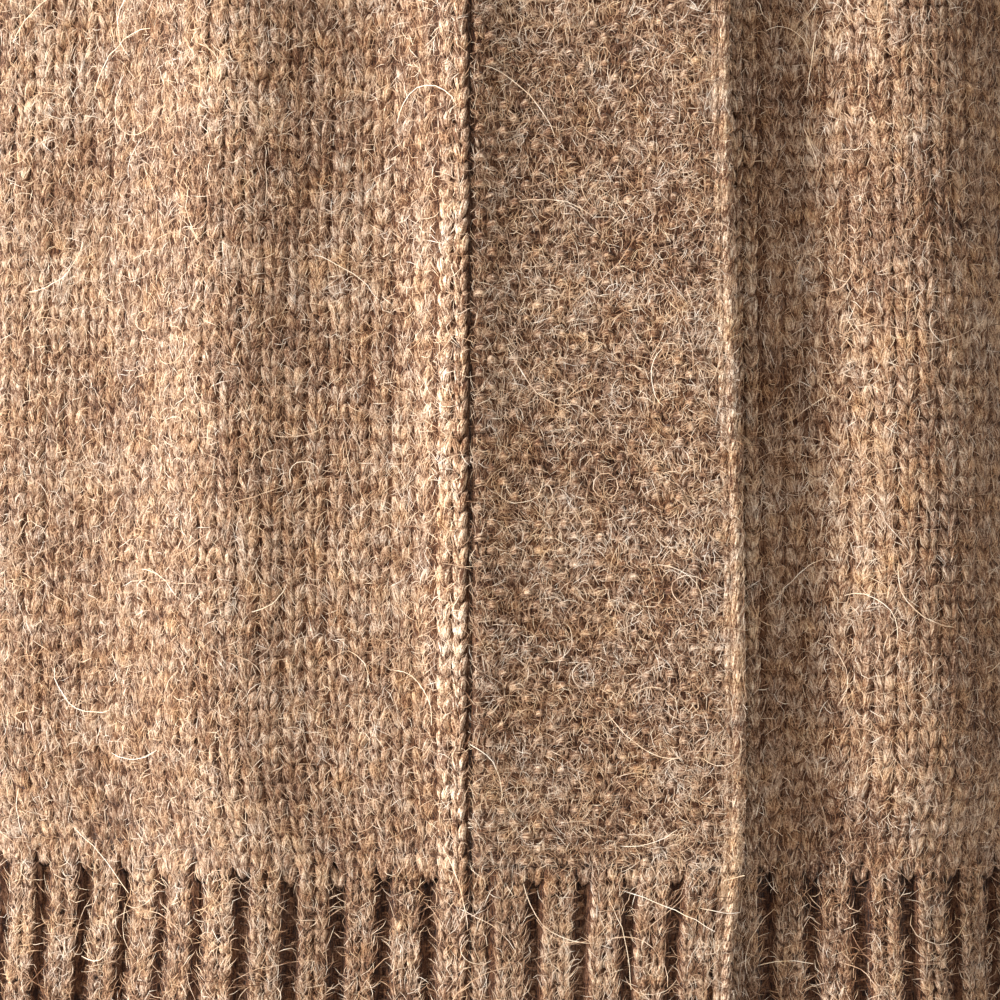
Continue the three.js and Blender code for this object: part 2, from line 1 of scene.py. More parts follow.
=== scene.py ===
import bpy
import numpy as np
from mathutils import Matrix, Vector


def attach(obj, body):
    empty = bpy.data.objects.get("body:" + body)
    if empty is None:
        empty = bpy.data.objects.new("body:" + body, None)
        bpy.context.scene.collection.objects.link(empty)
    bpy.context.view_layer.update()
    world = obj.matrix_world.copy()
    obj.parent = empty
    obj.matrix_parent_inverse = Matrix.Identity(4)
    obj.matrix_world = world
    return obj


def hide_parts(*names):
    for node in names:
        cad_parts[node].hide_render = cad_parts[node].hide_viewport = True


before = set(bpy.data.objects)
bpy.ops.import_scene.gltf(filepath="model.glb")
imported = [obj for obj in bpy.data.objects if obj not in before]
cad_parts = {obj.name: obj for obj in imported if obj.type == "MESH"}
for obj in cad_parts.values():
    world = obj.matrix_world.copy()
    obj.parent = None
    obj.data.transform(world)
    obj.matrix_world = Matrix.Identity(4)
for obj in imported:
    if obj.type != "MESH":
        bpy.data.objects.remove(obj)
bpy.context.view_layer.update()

# FRONTS. Each is one straight panel of plain knitting in thick brushed camel wool: every stitch is a V of two
# fat legs, and two narrow columns beside the band stand up as a clean edge. The panels hang in soft upright
# folds, and the wearer's right front lies on top of the left.
COAT_LENGTH = 900.0
UNDERARM_UP = 640.0
SHOULDER_UP = 962.0
QUARTER_GIRTH = 308.0
GIRTH = 4 * QUARTER_GIRTH
HEM_HEIGHT = 70.0
NECK_HALF_WIDTH = 97.0
ARMHOLE_INSET = 0.25
ARMHOLE_CURVE_UP = 120.0
HALF_GAP = 0.15
HALF_BAND = 41.0
BAND_LIFT = 5.3
STITCH_WIDE = 6.5
STITCH_TALL = 5.67
EDGE_COLUMN = 4.85
FIRST_COLUMN = HALF_BAND + 2 * EDGE_COLUMN + 0.9 + STITCH_WIDE / 2
# The part of the coat that the camera is near: round from centre front, and up from the hem
CLOSE_AROUND = (-216, 136)
CLOSE_UP = (18, 352)
# The close nap reaches past it, and thins out on the way
NAP_UP = (HEM_HEIGHT, 400)
NAP_THINS_FROM = 342
# Height from the hem, half width and half depth of the body
BODY = np.array([
    (0, 239, 136), (66, 235, 133), (110, 242, 138), (340, 236, 133), (640, 226, 124),
    (800, 221, 119), (962, 216, 114),
], float)
# Height from the hem, distance of a front's edge from the middle
FRONT_EDGE = np.array([
    (0, 41), (400, 41), (480, 49), (560, 63), (640, 76), (740, 88), (860, 95), (962, 97),
], float)
# Height from the hem, how much of the folds is left there
FOLD_STRENGTH = np.array([
    (0, 0.62), (70, 0.7), (200, 0.86), (340, 1), (480, 0.9), (620, 0.5), (740, 0.2), (860, 0.05), (962, 0),
])
# Folds: place round the coat from centre front, lean, half width, height
FOLDS = np.array([
    (-300, 6, 24, 5), (-252, 4, 22, -6), (-206, 2, 21, 7), (-160, -2, 19, -6), (-115.5, -5, 15.8, 7.3),
    (-71, -14, 15, -5.2), (-44, -42, 10, -5.4), (-41, 0, 7, 4.4), (-4, 0, 20, -2.2), (36, 0, 14, 2.6),
    (65, 2, 14, -6.5), (101, 4, 19, 7), (143, 4, 20, -6), (190, -3, 22, 6), (243, -4, 23, -6.5),
    (296, -6, 24, 5.5), (345, -5, 26, -6), (400, 3, 27, 7), (455, 6, 25, -6), (508, 3, 26, 6),
    (560, -4, 24, -5), (604, 0, 24, 5), (-556, 5, 25, -6), (-500, -4, 28, 6.5), (-448, -6, 24, -5),
    (-398, -2, 26, 6), (-350, 4, 25, -6.5),
])


def along(table, column, at):
    """A smooth curve through one column of a table, by its first column."""
    keys, values = table[:, 0], table[:, column]
    last = len(keys) - 1
    at = np.asarray(at, float)
    i = np.clip(np.searchsorted(keys, at, "left") - 1, 0, last - 1)
    before, after = np.maximum(np.arange(last + 1) - 1, 0), np.minimum(np.arange(last + 1) + 1, last)
    slope = (values[after] - values[before]) / (keys[after] - keys[before])
    span = keys[i + 1] - keys[i]
    t = np.clip((at - keys[i]) / span, 0, 1)
    return (
        (2 * t**3 - 3 * t**2 + 1) * values[i]
        + (t**3 - 2 * t**2 + t) * span * slope[i]
        + (3 * t**2 - 2 * t**3) * values[i + 1]
        + (t**3 - t**2) * span * slope[i + 1]
    )


def quarter_turn(corner, ratio, samples=240):
    """A quarter of a rounded oblong: share of the way round, and how far across and away it is there."""
    angle = np.linspace(0, np.pi / 2, samples + 1)
    across = np.abs(np.sin(angle)) ** (2 / corner)
    away = np.abs(np.cos(angle)) ** (2 / corner)
    away[-1] = 0.0
    length = np.concatenate([[0], np.cumsum(np.hypot(np.diff(across), ratio * np.diff(away)))])
    return length / length[-1], across, away


GIRTH_TURN = quarter_turn(2.5, 0.57)
SHOULDER_TURN = quarter_turn(2.6, 0.47)


def smooth(value, low, high):
    t = np.clip((value - low) / (high - low), 0, 1)
    return t * t * (3 - 2 * t)


def unit(vector):
    return vector / (np.linalg.norm(vector, axis=-1, keepdims=True) + 1e-12)


def body_form(around, up):
    """The body before folds; around runs from centre front to the wearer's left, in millimetres."""
    around = (around + GIRTH / 2) % GIRTH - GIRTH / 2
    over = (up - UNDERARM_UP) / (SHOULDER_UP - UNDERARM_UP)
    share = np.clip(np.where(over > 1, 2 - over, over), 0, 1)
    rise = np.interp(share, SHOULDER_TURN[0], SHOULDER_TURN[1])
    arch = np.interp(share, SHOULDER_TURN[0], SHOULDER_TURN[2]) * np.where(over > 1, -1, 1)
    foot = np.clip(up, 0, SHOULDER_UP)
    turned = np.abs(around) / QUARTER_GIRTH
    folded = np.where(turned > 1, 2 - turned, turned)
    x = along(BODY, 1, foot) * np.interp(folded, GIRTH_TURN[0], GIRTH_TURN[1])
    y = along(BODY, 2, foot) * np.interp(folded, GIRTH_TURN[0], GIRTH_TURN[2])
    shoulder = COAT_LENGTH - 0.44 * np.maximum(0, x - NECK_HALF_WIDTH)
    height = np.where(up <= UNDERARM_UP, up, UNDERARM_UP + rise * (shoulder - UNDERARM_UP))
    return np.stack([np.sign(around) * x, np.where(turned > 1, 1, -1) * y * arch, height - COAT_LENGTH], -1)


def around_at(x, up):
    """The distance round the front at which the body is so far to one side."""
    share = np.abs(x) / along(BODY, 1, up)
    return np.sign(x) * QUARTER_GIRTH * np.interp(share, GIRTH_TURN[1], GIRTH_TURN[0])


def front_edge(up):
    """The distance round from centre front to the edge of a front."""
    return around_at(along(FRONT_EDGE, 1, up), up)


def fold_rise(around, up):
    """How far the folds lift the cloth out of the body's plain form."""
    around, up = np.broadcast_arrays(around, up)
    rise = np.zeros(around.shape)
    for middle, lean, width, height in FOLDS:
        off = around - middle - lean * up / UNDERARM_UP
        rise += height * np.exp(-0.5 * ((off - GIRTH * np.round(off / GIRTH)) / width) ** 2)
    return rise * along(FOLD_STRENGTH, 1, np.clip(up, 0, SHOULDER_UP))


def body_cloth(around, up):
    """The outer face of fronts and back, with the folds; the upper front is lifted over the under band."""
    around, up = np.broadcast_arrays(np.asarray(around, float), np.asarray(up, float))
    across = body_form(around + 0.5, up) - body_form(around - 0.5, up)
    upward = body_form(around, up + 0.5) - body_form(around, up - 0.5)
    near = 1 - smooth(-around - front_edge(np.clip(up, 0, SHOULDER_UP)), 0, 60)
    lift = BAND_LIFT * (1 - smooth(up, 700, 860)) * near
    lift = np.where((around < 0) & (around > -QUARTER_GIRTH), lift, 0)
    return body_form(around, up) + unit(np.cross(across, upward)) * (fold_rise(around, up) + lift)[..., None]


def make_net(place, u_range, v_range, step, flip=1, warp=None):
    """Points and normals of a cloth on an even net of its own two distances."""
    step_u, step_v = np.broadcast_to(step, 2)
    us = np.linspace(*u_range, max(3, round((u_range[1] - u_range[0]) / step_u) + 1))
    vs = np.linspace(*v_range, max(3, round((v_range[1] - v_range[0]) / step_v) + 1))
    points = place(us[None, :], vs[:, None])
    normals = unit(np.cross(np.gradient(points, axis=1), np.gradient(points, axis=0))) * flip
    return {"points": points, "normals": normals, "us": us, "vs": vs, "flip": flip, "warp": warp}


def on_net(net, u, v, out):
    """Places on a net, so far out of its face."""
    u, v, out = np.broadcast_arrays(u, v, out)
    if net["warp"]:
        u, v = net["warp"](u, v)
    us, vs = net["us"], net["vs"]
    a = np.clip((u - us[0]) / (us[1] - us[0]), 0, len(us) - 1.001)
    b = np.clip((v - vs[0]) / (vs[1] - vs[0]), 0, len(vs) - 1.001)
    i, j = a.astype(int), b.astype(int)
    s, t = (a - i)[..., None], (b - j)[..., None]
    corners = (
        (j, i, (1 - s) * (1 - t)), (j, i + 1, s * (1 - t)), (j + 1, i, (1 - s) * t), (j + 1, i + 1, s * t),
    )
    point = sum(net["points"][r, c] * w for r, c, w in corners)
    normal = sum(net["normals"][r, c] * w for r, c, w in corners)
    return point + unit(normal) * out[..., None]


def grid_faces(rows, columns, closed=False):
    """Triangles over a grid of points; a closed one joins its last column to its first."""
    r, c = np.meshgrid(np.arange(rows - 1), np.arange(columns if closed else columns - 1), indexing="ij")
    r, c = r.ravel(), c.ravel()
    n = (c + 1) % columns
    a, b, d, e = r * columns + c, r * columns + n, (r + 1) * columns + n, (r + 1) * columns + c
    return np.concatenate([np.stack([a, b, d], 1), np.stack([a, d, e], 1)])


def cloth_wall(net, u, v, face=-0.9, back=-2.7, closed=False):
    """A thin wall of cloth, with its face and its back joined round every open edge."""
    u, v, face = np.broadcast_arrays(u, v, face)
    rows, columns = u.shape
    size = rows * columns
    faces = grid_faces(rows, columns, closed)
    rims = [np.arange(columns), (rows - 1) * columns + np.arange(columns)[::-1]]
    if closed:
        rims = [np.append(line, line[0]) for line in rims]
    else:
        rims += [np.arange(rows)[::-1] * columns, np.arange(rows) * columns + columns - 1]
    edges = []
    for line in rims:
        a, b = line[:-1], line[1:]
        edges += [np.stack([a, a + size, b + size], 1), np.stack([a, b + size, b], 1)]
    faces = np.concatenate([faces, faces[:, ::-1] + size, *edges])[:, :: net["flip"]]
    points = np.concatenate([on_net(net, u, v, depth).reshape(-1, 3) for depth in (face, back)])
    strand = np.stack([v.ravel(), u.ravel(), np.zeros(size)], 1)
    # Painted shade: the wall's face, which is seen only in the gaps between stitches, is painted dark. Its
    # back gets nearly full light.
    painted_light = np.concatenate([np.full(size, 0.12), np.full(size, 0.9)])
    return points, faces, np.concatenate([strand, strand + (0, 0, 9)]), painted_light


def grid_of(us, vs):
    """Every place of an even grid, row by row."""
    return [grid.ravel() for grid in np.meshgrid(us, vs)]


def strands(
    net, rng, u0, v0, u1, v1, wide, thick, rise, sink0, sink1, bow=0.0, base=0.0, rings=4, sides=5, dim=0.12,
):
    """Lengths of yarn lying on a cloth: fat in the middle, tucked under at both ends.

    Rise is how far the middle stands up, sink0 and sink1 how deep the ends go, bow how far the middle bends
    to one side, base how high the whole lies, and dim how much painted shade the tucked ends get (lower is
    darker).
    """
    lots = np.broadcast_arrays(u0, v0, u1, v1, wide, thick, rise, sink0, sink1, bow, base)
    lots = [lot.astype(float)[:, None, None] for lot in lots]
    u0, v0, u1, v1, wide, thick, rise, sink0, sink1, bow, base = lots
    n = len(u0)
    angle = np.radians(np.linspace(-104, 104, sides))[None, None, :]
    s = (np.arange(1, rings + 1) / (rings + 1))[None, :, None]
    run_u, run_v = u1 - u0, v1 - v0
    length = np.hypot(run_u, run_v) + 1e-9
    side_u, side_v = run_v / length, -run_u / length

    def centre(t):
        swell = np.sin(np.pi * t)
        out = base + rise * swell**0.8 - sink0 * (1 - t) ** 2 - sink1 * t**2
        return u0 + run_u * t + side_u * bow * swell, v0 + run_v * t + side_v * bow * swell, out, swell**0.5

    u, v, out, swell = centre(s)
    lump = 1 + rng.normal(0, 0.05, (n, rings, sides))
    off = 0.5 * wide * swell * np.sin(angle) * lump
    ring = on_net(net, u + side_u * off, v + side_v * off, out + thick * swell * np.cos(angle) * lump)
    tips = []
    for end in (0.0, 1.0):
        u_end, v_end, out_end, _ = centre(np.full((1, 1, 1), end))
        tips.append(on_net(net, u_end, v_end, out_end).reshape(n, 1, 3))
    points = np.concatenate([tips[0], ring.reshape(n, -1, 3), tips[1]], 1)
    seed = rng.uniform(0, 400, (n, 1, 1))
    shape = (n, rings, sides)
    run = [np.broadcast_to(x, shape) for x in (length * s, 0.45 * wide * angle, seed)]
    ends = [np.concatenate([x, 0 * seed, seed], -1) for x in (0 * seed, length)]
    strand = np.concatenate([ends[0], np.stack(run, -1).reshape(n, -1, 3), ends[1]], 1)
    # Painted shade: each strand is darkest at its tucked ends and along its sides, and lightest along the top
    # of its middle.
    painted_light = dim + 0.08 + (0.92 - dim) * np.sin(np.pi * s) ** 0.7 * (0.4 + 0.6 * np.cos(angle * 0.8))
    painted_light = np.broadcast_to(painted_light, shape).reshape(n, -1)
    painted_light = np.concatenate([np.full((n, 1), dim), painted_light, np.full((n, 1), dim)], 1)
    fan = np.arange(sides - 1)
    top = 1 + (rings - 1) * sides
    start = np.stack([0 * fan, 2 + fan, 1 + fan], 1)
    finish = np.stack([top + fan, top + fan + 1, 0 * fan + 1 + rings * sides], 1)
    local = np.concatenate([1 + grid_faces(rings, sides), start, finish])[:, :: net["flip"]]
    faces = local[None] + (np.arange(n) * points.shape[1])[:, None, None]
    return points, faces, strand, painted_light


def scale_painted_light(lot, times):
    """A lot of strands, with its painted light and shade made lighter or darker."""
    return (*lot[:3], times * lot[3])


def seen_close(around, up):
    """True in the part of the coat that the camera is near."""
    beside = (around > CLOSE_AROUND[0]) & (around < CLOSE_AROUND[1])
    return beside & (up > CLOSE_UP[0]) & (up < CLOSE_UP[1])


def vee_stitches(net, rng, u, v, wide, tall, close, base=0.0, dim=0.12, plump=1.0):
    """Plain stitches: two legs come up out of the stitch below, spread, and go under the one above."""
    u, v, base, close = np.broadcast_arrays(u, v, base, close)
    found = []
    for near, rings, sides in ((True, 3, 4), (False, 1, 3)):
        pick = np.flatnonzero(close == near)
        if not len(pick):
            continue
        for hand in (-1, 1):
            shake = lambda size: rng.normal(0, size, len(pick))
            found.append(strands(
                net, rng,
                u[pick] + hand * 0.06 * wide + shake(0.04 * wide),
                v[pick] - 0.36 * tall + shake(0.42),
                u[pick] + hand * 0.40 * wide + shake(0.045 * wide),
                v[pick] + 1.06 * tall + shake(0.45),
                wide=0.53 * wide * (1 + shake(0.12)),
                thick=plump * (1.2 + shake(0.12)),
                rise=plump * (0.55 + shake(0.18)),
                sink0=0.3, sink1=1.2 * plump, bow=hand * -0.25, base=base[pick] - 0.75,
                rings=rings, sides=sides, dim=dim,
            ))
    return found


def hairs(net, rng, u, v, length, low, high, wide, heading=None, turn=1.6, segments=3):
    """Loose curled hairs of the yarn, standing a little off the cloth."""
    n = len(u)
    t = np.linspace(0, 1, segments + 1)
    if heading is None:
        heading = rng.uniform(-np.pi, np.pi, n)
    kink = 0.22 if segments < 4 else 0.08
    angle = heading[:, None] + rng.normal(0, turn, (n, 1)) * t + rng.normal(0, kink, (n, segments + 1))
    step = (length / segments)[:, None]
    zero = np.zeros((n, 1))
    mid_u = u[:, None] + np.concatenate([zero, np.cumsum(np.cos(angle[:, :-1]) * step, 1)], 1)
    mid_v = v[:, None] + np.concatenate([zero, np.cumsum(np.sin(angle[:, :-1]) * step, 1)], 1)
    out = low[:, None] + (high - low)[:, None] * np.sin(np.pi * (0.1 + 0.75 * t))
    out = out + rng.normal(0, 0.1, (n, segments + 1))
    half = 0.5 * wide[:, None] * np.array([0.8] + [1.0] * (segments - 1) + [0.0])
    left = on_net(net, mid_u - np.sin(angle) * half, mid_v + np.cos(angle) * half, out)
    right = on_net(net, mid_u + np.sin(angle) * half, mid_v - np.cos(angle) * half, out)
    points = np.concatenate([np.stack([left[:, :-1], right[:, :-1]], 2).reshape(n, -1, 3), left[:, -1:]], 1)
    k = 2 * np.arange(segments - 1)
    tip = [[2 * segments - 2, 2 * segments - 1, 2 * segments]]
    ribbon = [np.stack([k, k + 1, k + 3], 1), np.stack([k, k + 3, k + 2], 1)]
    local = np.concatenate([*ribbon, tip])[:, :: net["flip"]]
    faces = local[None] + (np.arange(n) * points.shape[1])[:, None, None]
    far = np.concatenate([np.repeat(t[:-1], 2), [1.0]])[None] * length[:, None]
    strand = np.stack([far, 0 * far, 0 * far + rng.uniform(0, 400, (n, 1))], -1)
    # Painted shade and highlight: hairs that lie low are painted darker and those that stand high are painted
    # lighter. The long strays are all painted light.
    deep = out[:, :-1] - out.mean()
    painted_light = np.clip(0.78 + 0.45 * np.concatenate([np.repeat(deep, 2, axis=1), deep[:, -1:]], 1), 0.2, 1.1)
    painted_light = painted_light if segments < 4 else 0 * painted_light + 1.15
    return points, faces, strand, painted_light


def close_nap(net, rng, u_range, v_range, combed, per_area=0.6, share=0.65, base=0.0, keep=None):
    """Fine hairs, thick on the cloth: most lie combed along the yarn, the rest curl, and a few stray."""
    count = int(per_area * (u_range[1] - u_range[0]) * (v_range[1] - v_range[0]))
    u, v = rng.uniform(*u_range, count), rng.uniform(*v_range, count)
    if keep is not None:
        u, v = u[keep(u, v)], v[keep(u, v)]
    lies = rng.uniform(0, 1, len(u)) < share
    a, b = u[lies], v[lies]
    n = len(a)
    smoothed = hairs(
        net, rng, a, b, length=rng.uniform(3, 7.5, n), low=base + rng.uniform(0, 0.45, n),
        high=base + rng.uniform(0.5, 1.1, n), wide=rng.uniform(0.10, 0.21, n),
        heading=combed(a, b) + rng.normal(0, 0.42, n), turn=0.8, segments=2,
    )
    n = len(u) - n
    curled = hairs(
        net, rng, u[~lies], v[~lies], length=rng.uniform(3, 8, n), low=base + rng.uniform(0, 0.6, n),
        high=base + rng.uniform(0.7, 1.4, n), wide=rng.uniform(0.10, 0.2, n),
    )
    n = max(6, count // 260)
    stray = hairs(
        net, rng, rng.uniform(*u_range, n), rng.uniform(*v_range, n), length=rng.uniform(12, 34, n),
        low=base + rng.uniform(0.9, 1.5, n), high=base + rng.uniform(1.8, 3.6, n),
        wide=rng.uniform(0.14, 0.26, n), turn=2.0, segments=9,
    )
    return [smoothed, curled, stray]


def thins_out(u, v):
    """Keeps all the hairs low down, and fewer and fewer toward the top of the part that is seen close."""
    return v < NAP_THINS_FROM + (NAP_UP[1] - NAP_THINS_FROM) * ((7.3 * u) % 1)


def thin_nap(net, rng, u, v, base=0.0):
    """The nap where the coat is seen from farther off: longer hairs, and fewer."""
    n = len(u)
    return [hairs(
        net, rng, u, v, length=rng.uniform(5, 14, n), low=np.full(n, base + 0.4),
        high=base + rng.uniform(1.4, 3.4, n), wide=rng.uniform(0.2, 0.4, n), segments=2,
    )]


def make_piece(name, parts, material):
    """One mesh from several lots of points and faces, riding on the coat."""
    points, faces, strand, painted_light, start = [], [], [], [], 0
    for p, f, s, k in parts:
        points.append(p.reshape(-1, 3) / 1000)
        faces.append(f.reshape(-1, 3) + start)
        strand.append(s.reshape(-1, 3))
        painted_light.append(k.reshape(-1))
        start += len(points[-1])
    points, faces, strand, painted_light = map(np.concatenate, (points, faces, strand, painted_light))
    mesh = bpy.data.meshes.new(name)
    mesh.vertices.add(len(points))
    mesh.vertices.foreach_set("co", points.astype(np.float32).ravel())
    mesh.loops.add(faces.size)
    mesh.loops.foreach_set("vertex_index", faces.astype(np.int32).ravel())
    mesh.polygons.add(len(faces))
    mesh.polygons.foreach_set("loop_start", np.arange(0, faces.size, 3, dtype=np.int32))
    mesh.polygons.foreach_set("use_smooth", np.ones(len(faces), bool))
    mesh.update(calc_edges=True)
    strand, painted_light = strand.astype(np.float32).ravel(), painted_light.astype(np.float32)
    mesh.attributes.new("strand", "FLOAT_VECTOR", "POINT").data.foreach_set("vector", strand)
    mesh.attributes.new("painted_light", "FLOAT", "POINT").data.foreach_set("value", painted_light)
    mesh.materials.append(material)
    piece = bpy.data.objects.new(name, mesh)
    bpy.context.collection.objects.link(piece)
    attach(piece, "root")
    return piece


def wool(name, stops, depth=0.8, bump_height=0.0009, mixed=(0.60, 0.38, 0.08)):
    """Brushed wool: fine pale and dark fibres along each strand, in soft clouds of light and dark yarn, under
    painted shade and highlight.
    """
    material = bpy.data.materials.new(name)
    material.use_nodes = True
    nodes, link = material.node_tree.nodes, material.node_tree.links.new
    shader = nodes["Principled BSDF"]

    def calc(operation, a, b):
        node = nodes.new("ShaderNodeMath")
        node.operation = operation
        for socket, value in zip(node.inputs, (a, b)):
            if isinstance(value, float):
                socket.default_value = value
            else:
                link(value, socket)
        return node.outputs[0]

    def noise(vector, scale, detail, rough=0.6, stretch=(1, 1, 1)):
        mapping = nodes.new("ShaderNodeMapping")
        mapping.inputs["Scale"].default_value = stretch
        link(vector, mapping.inputs["Vector"])
        node = nodes.new("ShaderNodeTexNoise")
        link(mapping.outputs[0], node.inputs["Vector"])
        node.inputs["Scale"].default_value = scale
        node.inputs["Detail"].default_value = detail
        node.inputs["Roughness"].default_value = rough
        return node.outputs[0]

    def attribute(label, output):
        node = nodes.new("ShaderNodeAttribute")
        node.attribute_name = label
        return node.outputs[output]

    strand = attribute("strand", "Vector")
    place = nodes.new("ShaderNodeTexCoord").outputs["Object"]
    fibre = noise(strand, 1.0, 2.0, 0.6, (0.26, 2.0, 1.0))
    frizz = noise(place, 1700, 2.0, 0.7)
    mix = calc("ADD", calc("MULTIPLY", fibre, mixed[0]), calc("MULTIPLY", frizz, mixed[1]))
    mix = calc("ADD", mix, calc("MULTIPLY", noise(place, 240, 2.0), 0.17))
    mix = calc("ADD", mix, calc("MULTIPLY", noise(place, 34, 2.0), 0.17))
    mix = calc("ADD", mix, calc("MULTIPLY", noise(strand, 1.0, 0.0, 0.5, (0, 0, 3.7)), mixed[2]))
    ramp = nodes.new("ShaderNodeValToRGB")
    elements = ramp.color_ramp.elements
    for n, (position, colour) in enumerate(stops):
        element = elements[n] if n < 2 else elements.new(position)
        element.position = position
        element.color = (*colour, 1)
    link(mix, ramp.inputs[0])
    # Painted shade and highlight: each point's painted_light value darkens the colour where yarn tucks under
    # or lies low, and lightens it where it stands up. Depth is how strongly.
    shade = calc("ADD", calc("MULTIPLY", attribute("painted_light", "Fac"), depth), 1 - depth)
    # The painted shade grows warmer as it deepens, because green and blue fall faster than red. The hue noise
    # tilts green and blue at random, a real change in the yarn's colour.
    hue = noise(place, 130, 1.0)
    deepened = nodes.new("ShaderNodeCombineColor")
    for socket, power, swing in zip(deepened.inputs, (1.0, 1.3, 1.5), (0.0, 0.35, 0.9)):
        level = calc("ADD", calc("MULTIPLY", hue, swing), 1 - 0.5 * swing)
        link(calc("MULTIPLY", calc("POWER", shade, power), level), socket)
    tint = nodes.new("ShaderNodeMix")
    tint.data_type = "RGBA"
    tint.blend_type = "MULTIPLY"
    tint.inputs["Factor"].default_value = 1.0
    colours = [socket for socket in tint.inputs if socket.type == "RGBA"]
    link(ramp.outputs[0], colours[0])
    link(deepened.outputs[0], colours[1])
    link(next(socket for socket in tint.outputs if socket.type == "RGBA"), shader.inputs["Base Color"])
    bump = nodes.new("ShaderNodeBump")
    bump.inputs["Strength"].default_value = 0.8
    bump.inputs["Distance"].default_value = bump_height
    link(calc("ADD", fibre, calc("MULTIPLY", frizz, 0.7)), bump.inputs["Height"])
    link(bump.outputs[0], shader.inputs["Normal"])
    link(calc("ADD", calc("MULTIPLY", fibre, 0.2), 0.78), shader.inputs["Roughness"])
    shader.inputs["Specular IOR Level"].default_value = 0.2
    shader.inputs["Sheen Weight"].default_value = 0.2
    shader.inputs["Sheen Roughness"].default_value = 0.5
    return material


# Stops of a wool's colour: how much of the mixed noise, colour; the first two are the darkest and the palest
plain_wool = wool("plain_wool", (
    (0.60, (0.090, 0.033, 0.015)), (0.82, (0.95, 0.77, 0.58)), (0.66, (0.26, 0.132, 0.072)),
    (0.71, (0.48, 0.305, 0.196)), (0.765, (0.72, 0.52, 0.362)),
))
# Paler than the cloth's wool: partly the loose fibres' own paler colour, and partly a painted highlight for
# the light that the fine hairs catch.
hair_wool = wool("hair_wool", (
    (0.57, (0.070, 0.026, 0.012)), (0.82, (0.97, 0.83, 0.67)), (0.645, (0.27, 0.142, 0.080)),
    (0.70, (0.56, 0.375, 0.250)), (0.76, (0.82, 0.63, 0.455)),
), depth=0.6, bump_height=0.0001, mixed=(0.25, 0.0, 0.80))
body_net = make_net(body_cloth, (-322, 938), (-6, 966), 3.0)


def armhole_inset(up):
    """The share of a panel's half width that the armhole takes away."""
    share = np.clip((up - UNDERARM_UP) / ARMHOLE_CURVE_UP, 0, 1)
    return ARMHOLE_INSET * np.sqrt(1 - (1 - share) ** 2)


def panel_rows():
    """Heights of the rows of a panel's wall, closer together where the armhole curves."""
    low = np.linspace(HEM_HEIGHT + 2 * HALF_GAP, UNDERARM_UP, 45)[:-1]
    curve = UNDERARM_UP + ARMHOLE_CURVE_UP * (1 - np.cos(np.linspace(0, np.pi / 2, 11)))
    high = np.linspace(UNDERARM_UP + ARMHOLE_CURVE_UP, SHOULDER_UP - HALF_GAP, 18)[1:]
    return np.concatenate([low, curve, high])


def front_reach(up):
    """Where a front begins at its band and ends at the side seam or the armhole."""
    return front_edge(up) + HALF_GAP, QUARTER_GIRTH * (1 - armhole_inset(up)) - HALF_GAP


def leg_heading(side):
    """The way that the leg of a plain stitch runs at a place on a front."""
    def heading(u, v):
        off = ((np.abs(u) - FIRST_COLUMN) / STITCH_WIDE + 0.5) % 1 - 0.5
        return np.pi / 2 - side * np.sign(off) * 0.30

    return heading


for side, name, near in ((-1, "front_right", (-212, -41.5)), (1, "front_left", (42, 134))):
    rng = np.random.default_rng(11 + side)
    rows = panel_rows()[:, None]
    start, end = front_reach(rows)
    share = np.concatenate([[0, 0.004], np.linspace(0.02, 1, 26)])[None, ::side]
    face = np.where(share < 0.01, -2.2, -0.9)
    wall = cloth_wall(body_net, side * (start + (end - start) * share), rows, face)
    cloth = make_piece(f"{name}_cloth", [wall], plain_wool)
    rows = np.arange(HEM_HEIGHT - 1.2, SHOULDER_UP - 2, STITCH_TALL)
    u, v = grid_of(np.arange(FIRST_COLUMN, QUARTER_GIRTH, STITCH_WIDE), rows)
    begin, finish = front_reach(v)
    inside = (u > begin + 2 * EDGE_COLUMN + 0.9 + 0.3 * STITCH_WIDE) & (u < finish - 0.3 * STITCH_WIDE)
    u, v = u[inside], v[inside]
    sway = 0.5 * np.sin(v / 61 + u / 23) + 0.3 * np.sin(v / 17 + u * 1.7)
    found = vee_stitches(
        body_net, rng, side * (u + sway), v, STITCH_WIDE, STITCH_TALL, seen_close(side * u, v),
        0.1, 0.42, 0.78,
    )
    for n in (0, 1):
        u = front_reach(rows)[0] + 0.2 + EDGE_COLUMN * (n + 0.5)
        close = seen_close(side * u, rows)
        edge = vee_stitches(
            body_net, rng, side * u, rows, EDGE_COLUMN, STITCH_TALL, close, 0.7 - 0.2 * n, 0.2,
        )
        # Painted highlight: the two raised edge columns are painted lighter.
        found += [scale_painted_light(part, 1.3) for part in edge]
    stitches = make_piece(f"{name}_stitches", found, plain_wool)
    u, v = side * rng.uniform(HALF_BAND, QUARTER_GIRTH, 3600), rng.uniform(HEM_HEIGHT, 940, 3600)
    begin, finish = front_reach(v)
    keep = (np.abs(u) > begin) & (np.abs(u) < finish) & ~seen_close(u, v)
    combed = leg_heading(side)
    fuzz = close_nap(body_net, rng, near, NAP_UP, combed, 0.53, base=0.12, keep=thins_out)
    fuzz += thin_nap(body_net, rng, u[keep], v[keep])
    nap = make_piece(f"{name}_nap", fuzz, hair_wool)
    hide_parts(name)

# BACK. One panel across the whole back, in the same plain knitting, hollowed a little at the neck.
# It is sewn to the fronts at the side seams and along the tops of the shoulders.
BACK_NECK_DROP = 68.0
neck_half = float(front_edge(SHOULDER_UP))
rng = np.random.default_rng(21)


def back_top(off):
    """How far up the back goes, by the distance round from centre back."""
    share = np.clip(np.abs(off) / neck_half, 0, 1)
    return SHOULDER_UP - HALF_GAP - BACK_NECK_DROP * np.sqrt(1 - share**2)


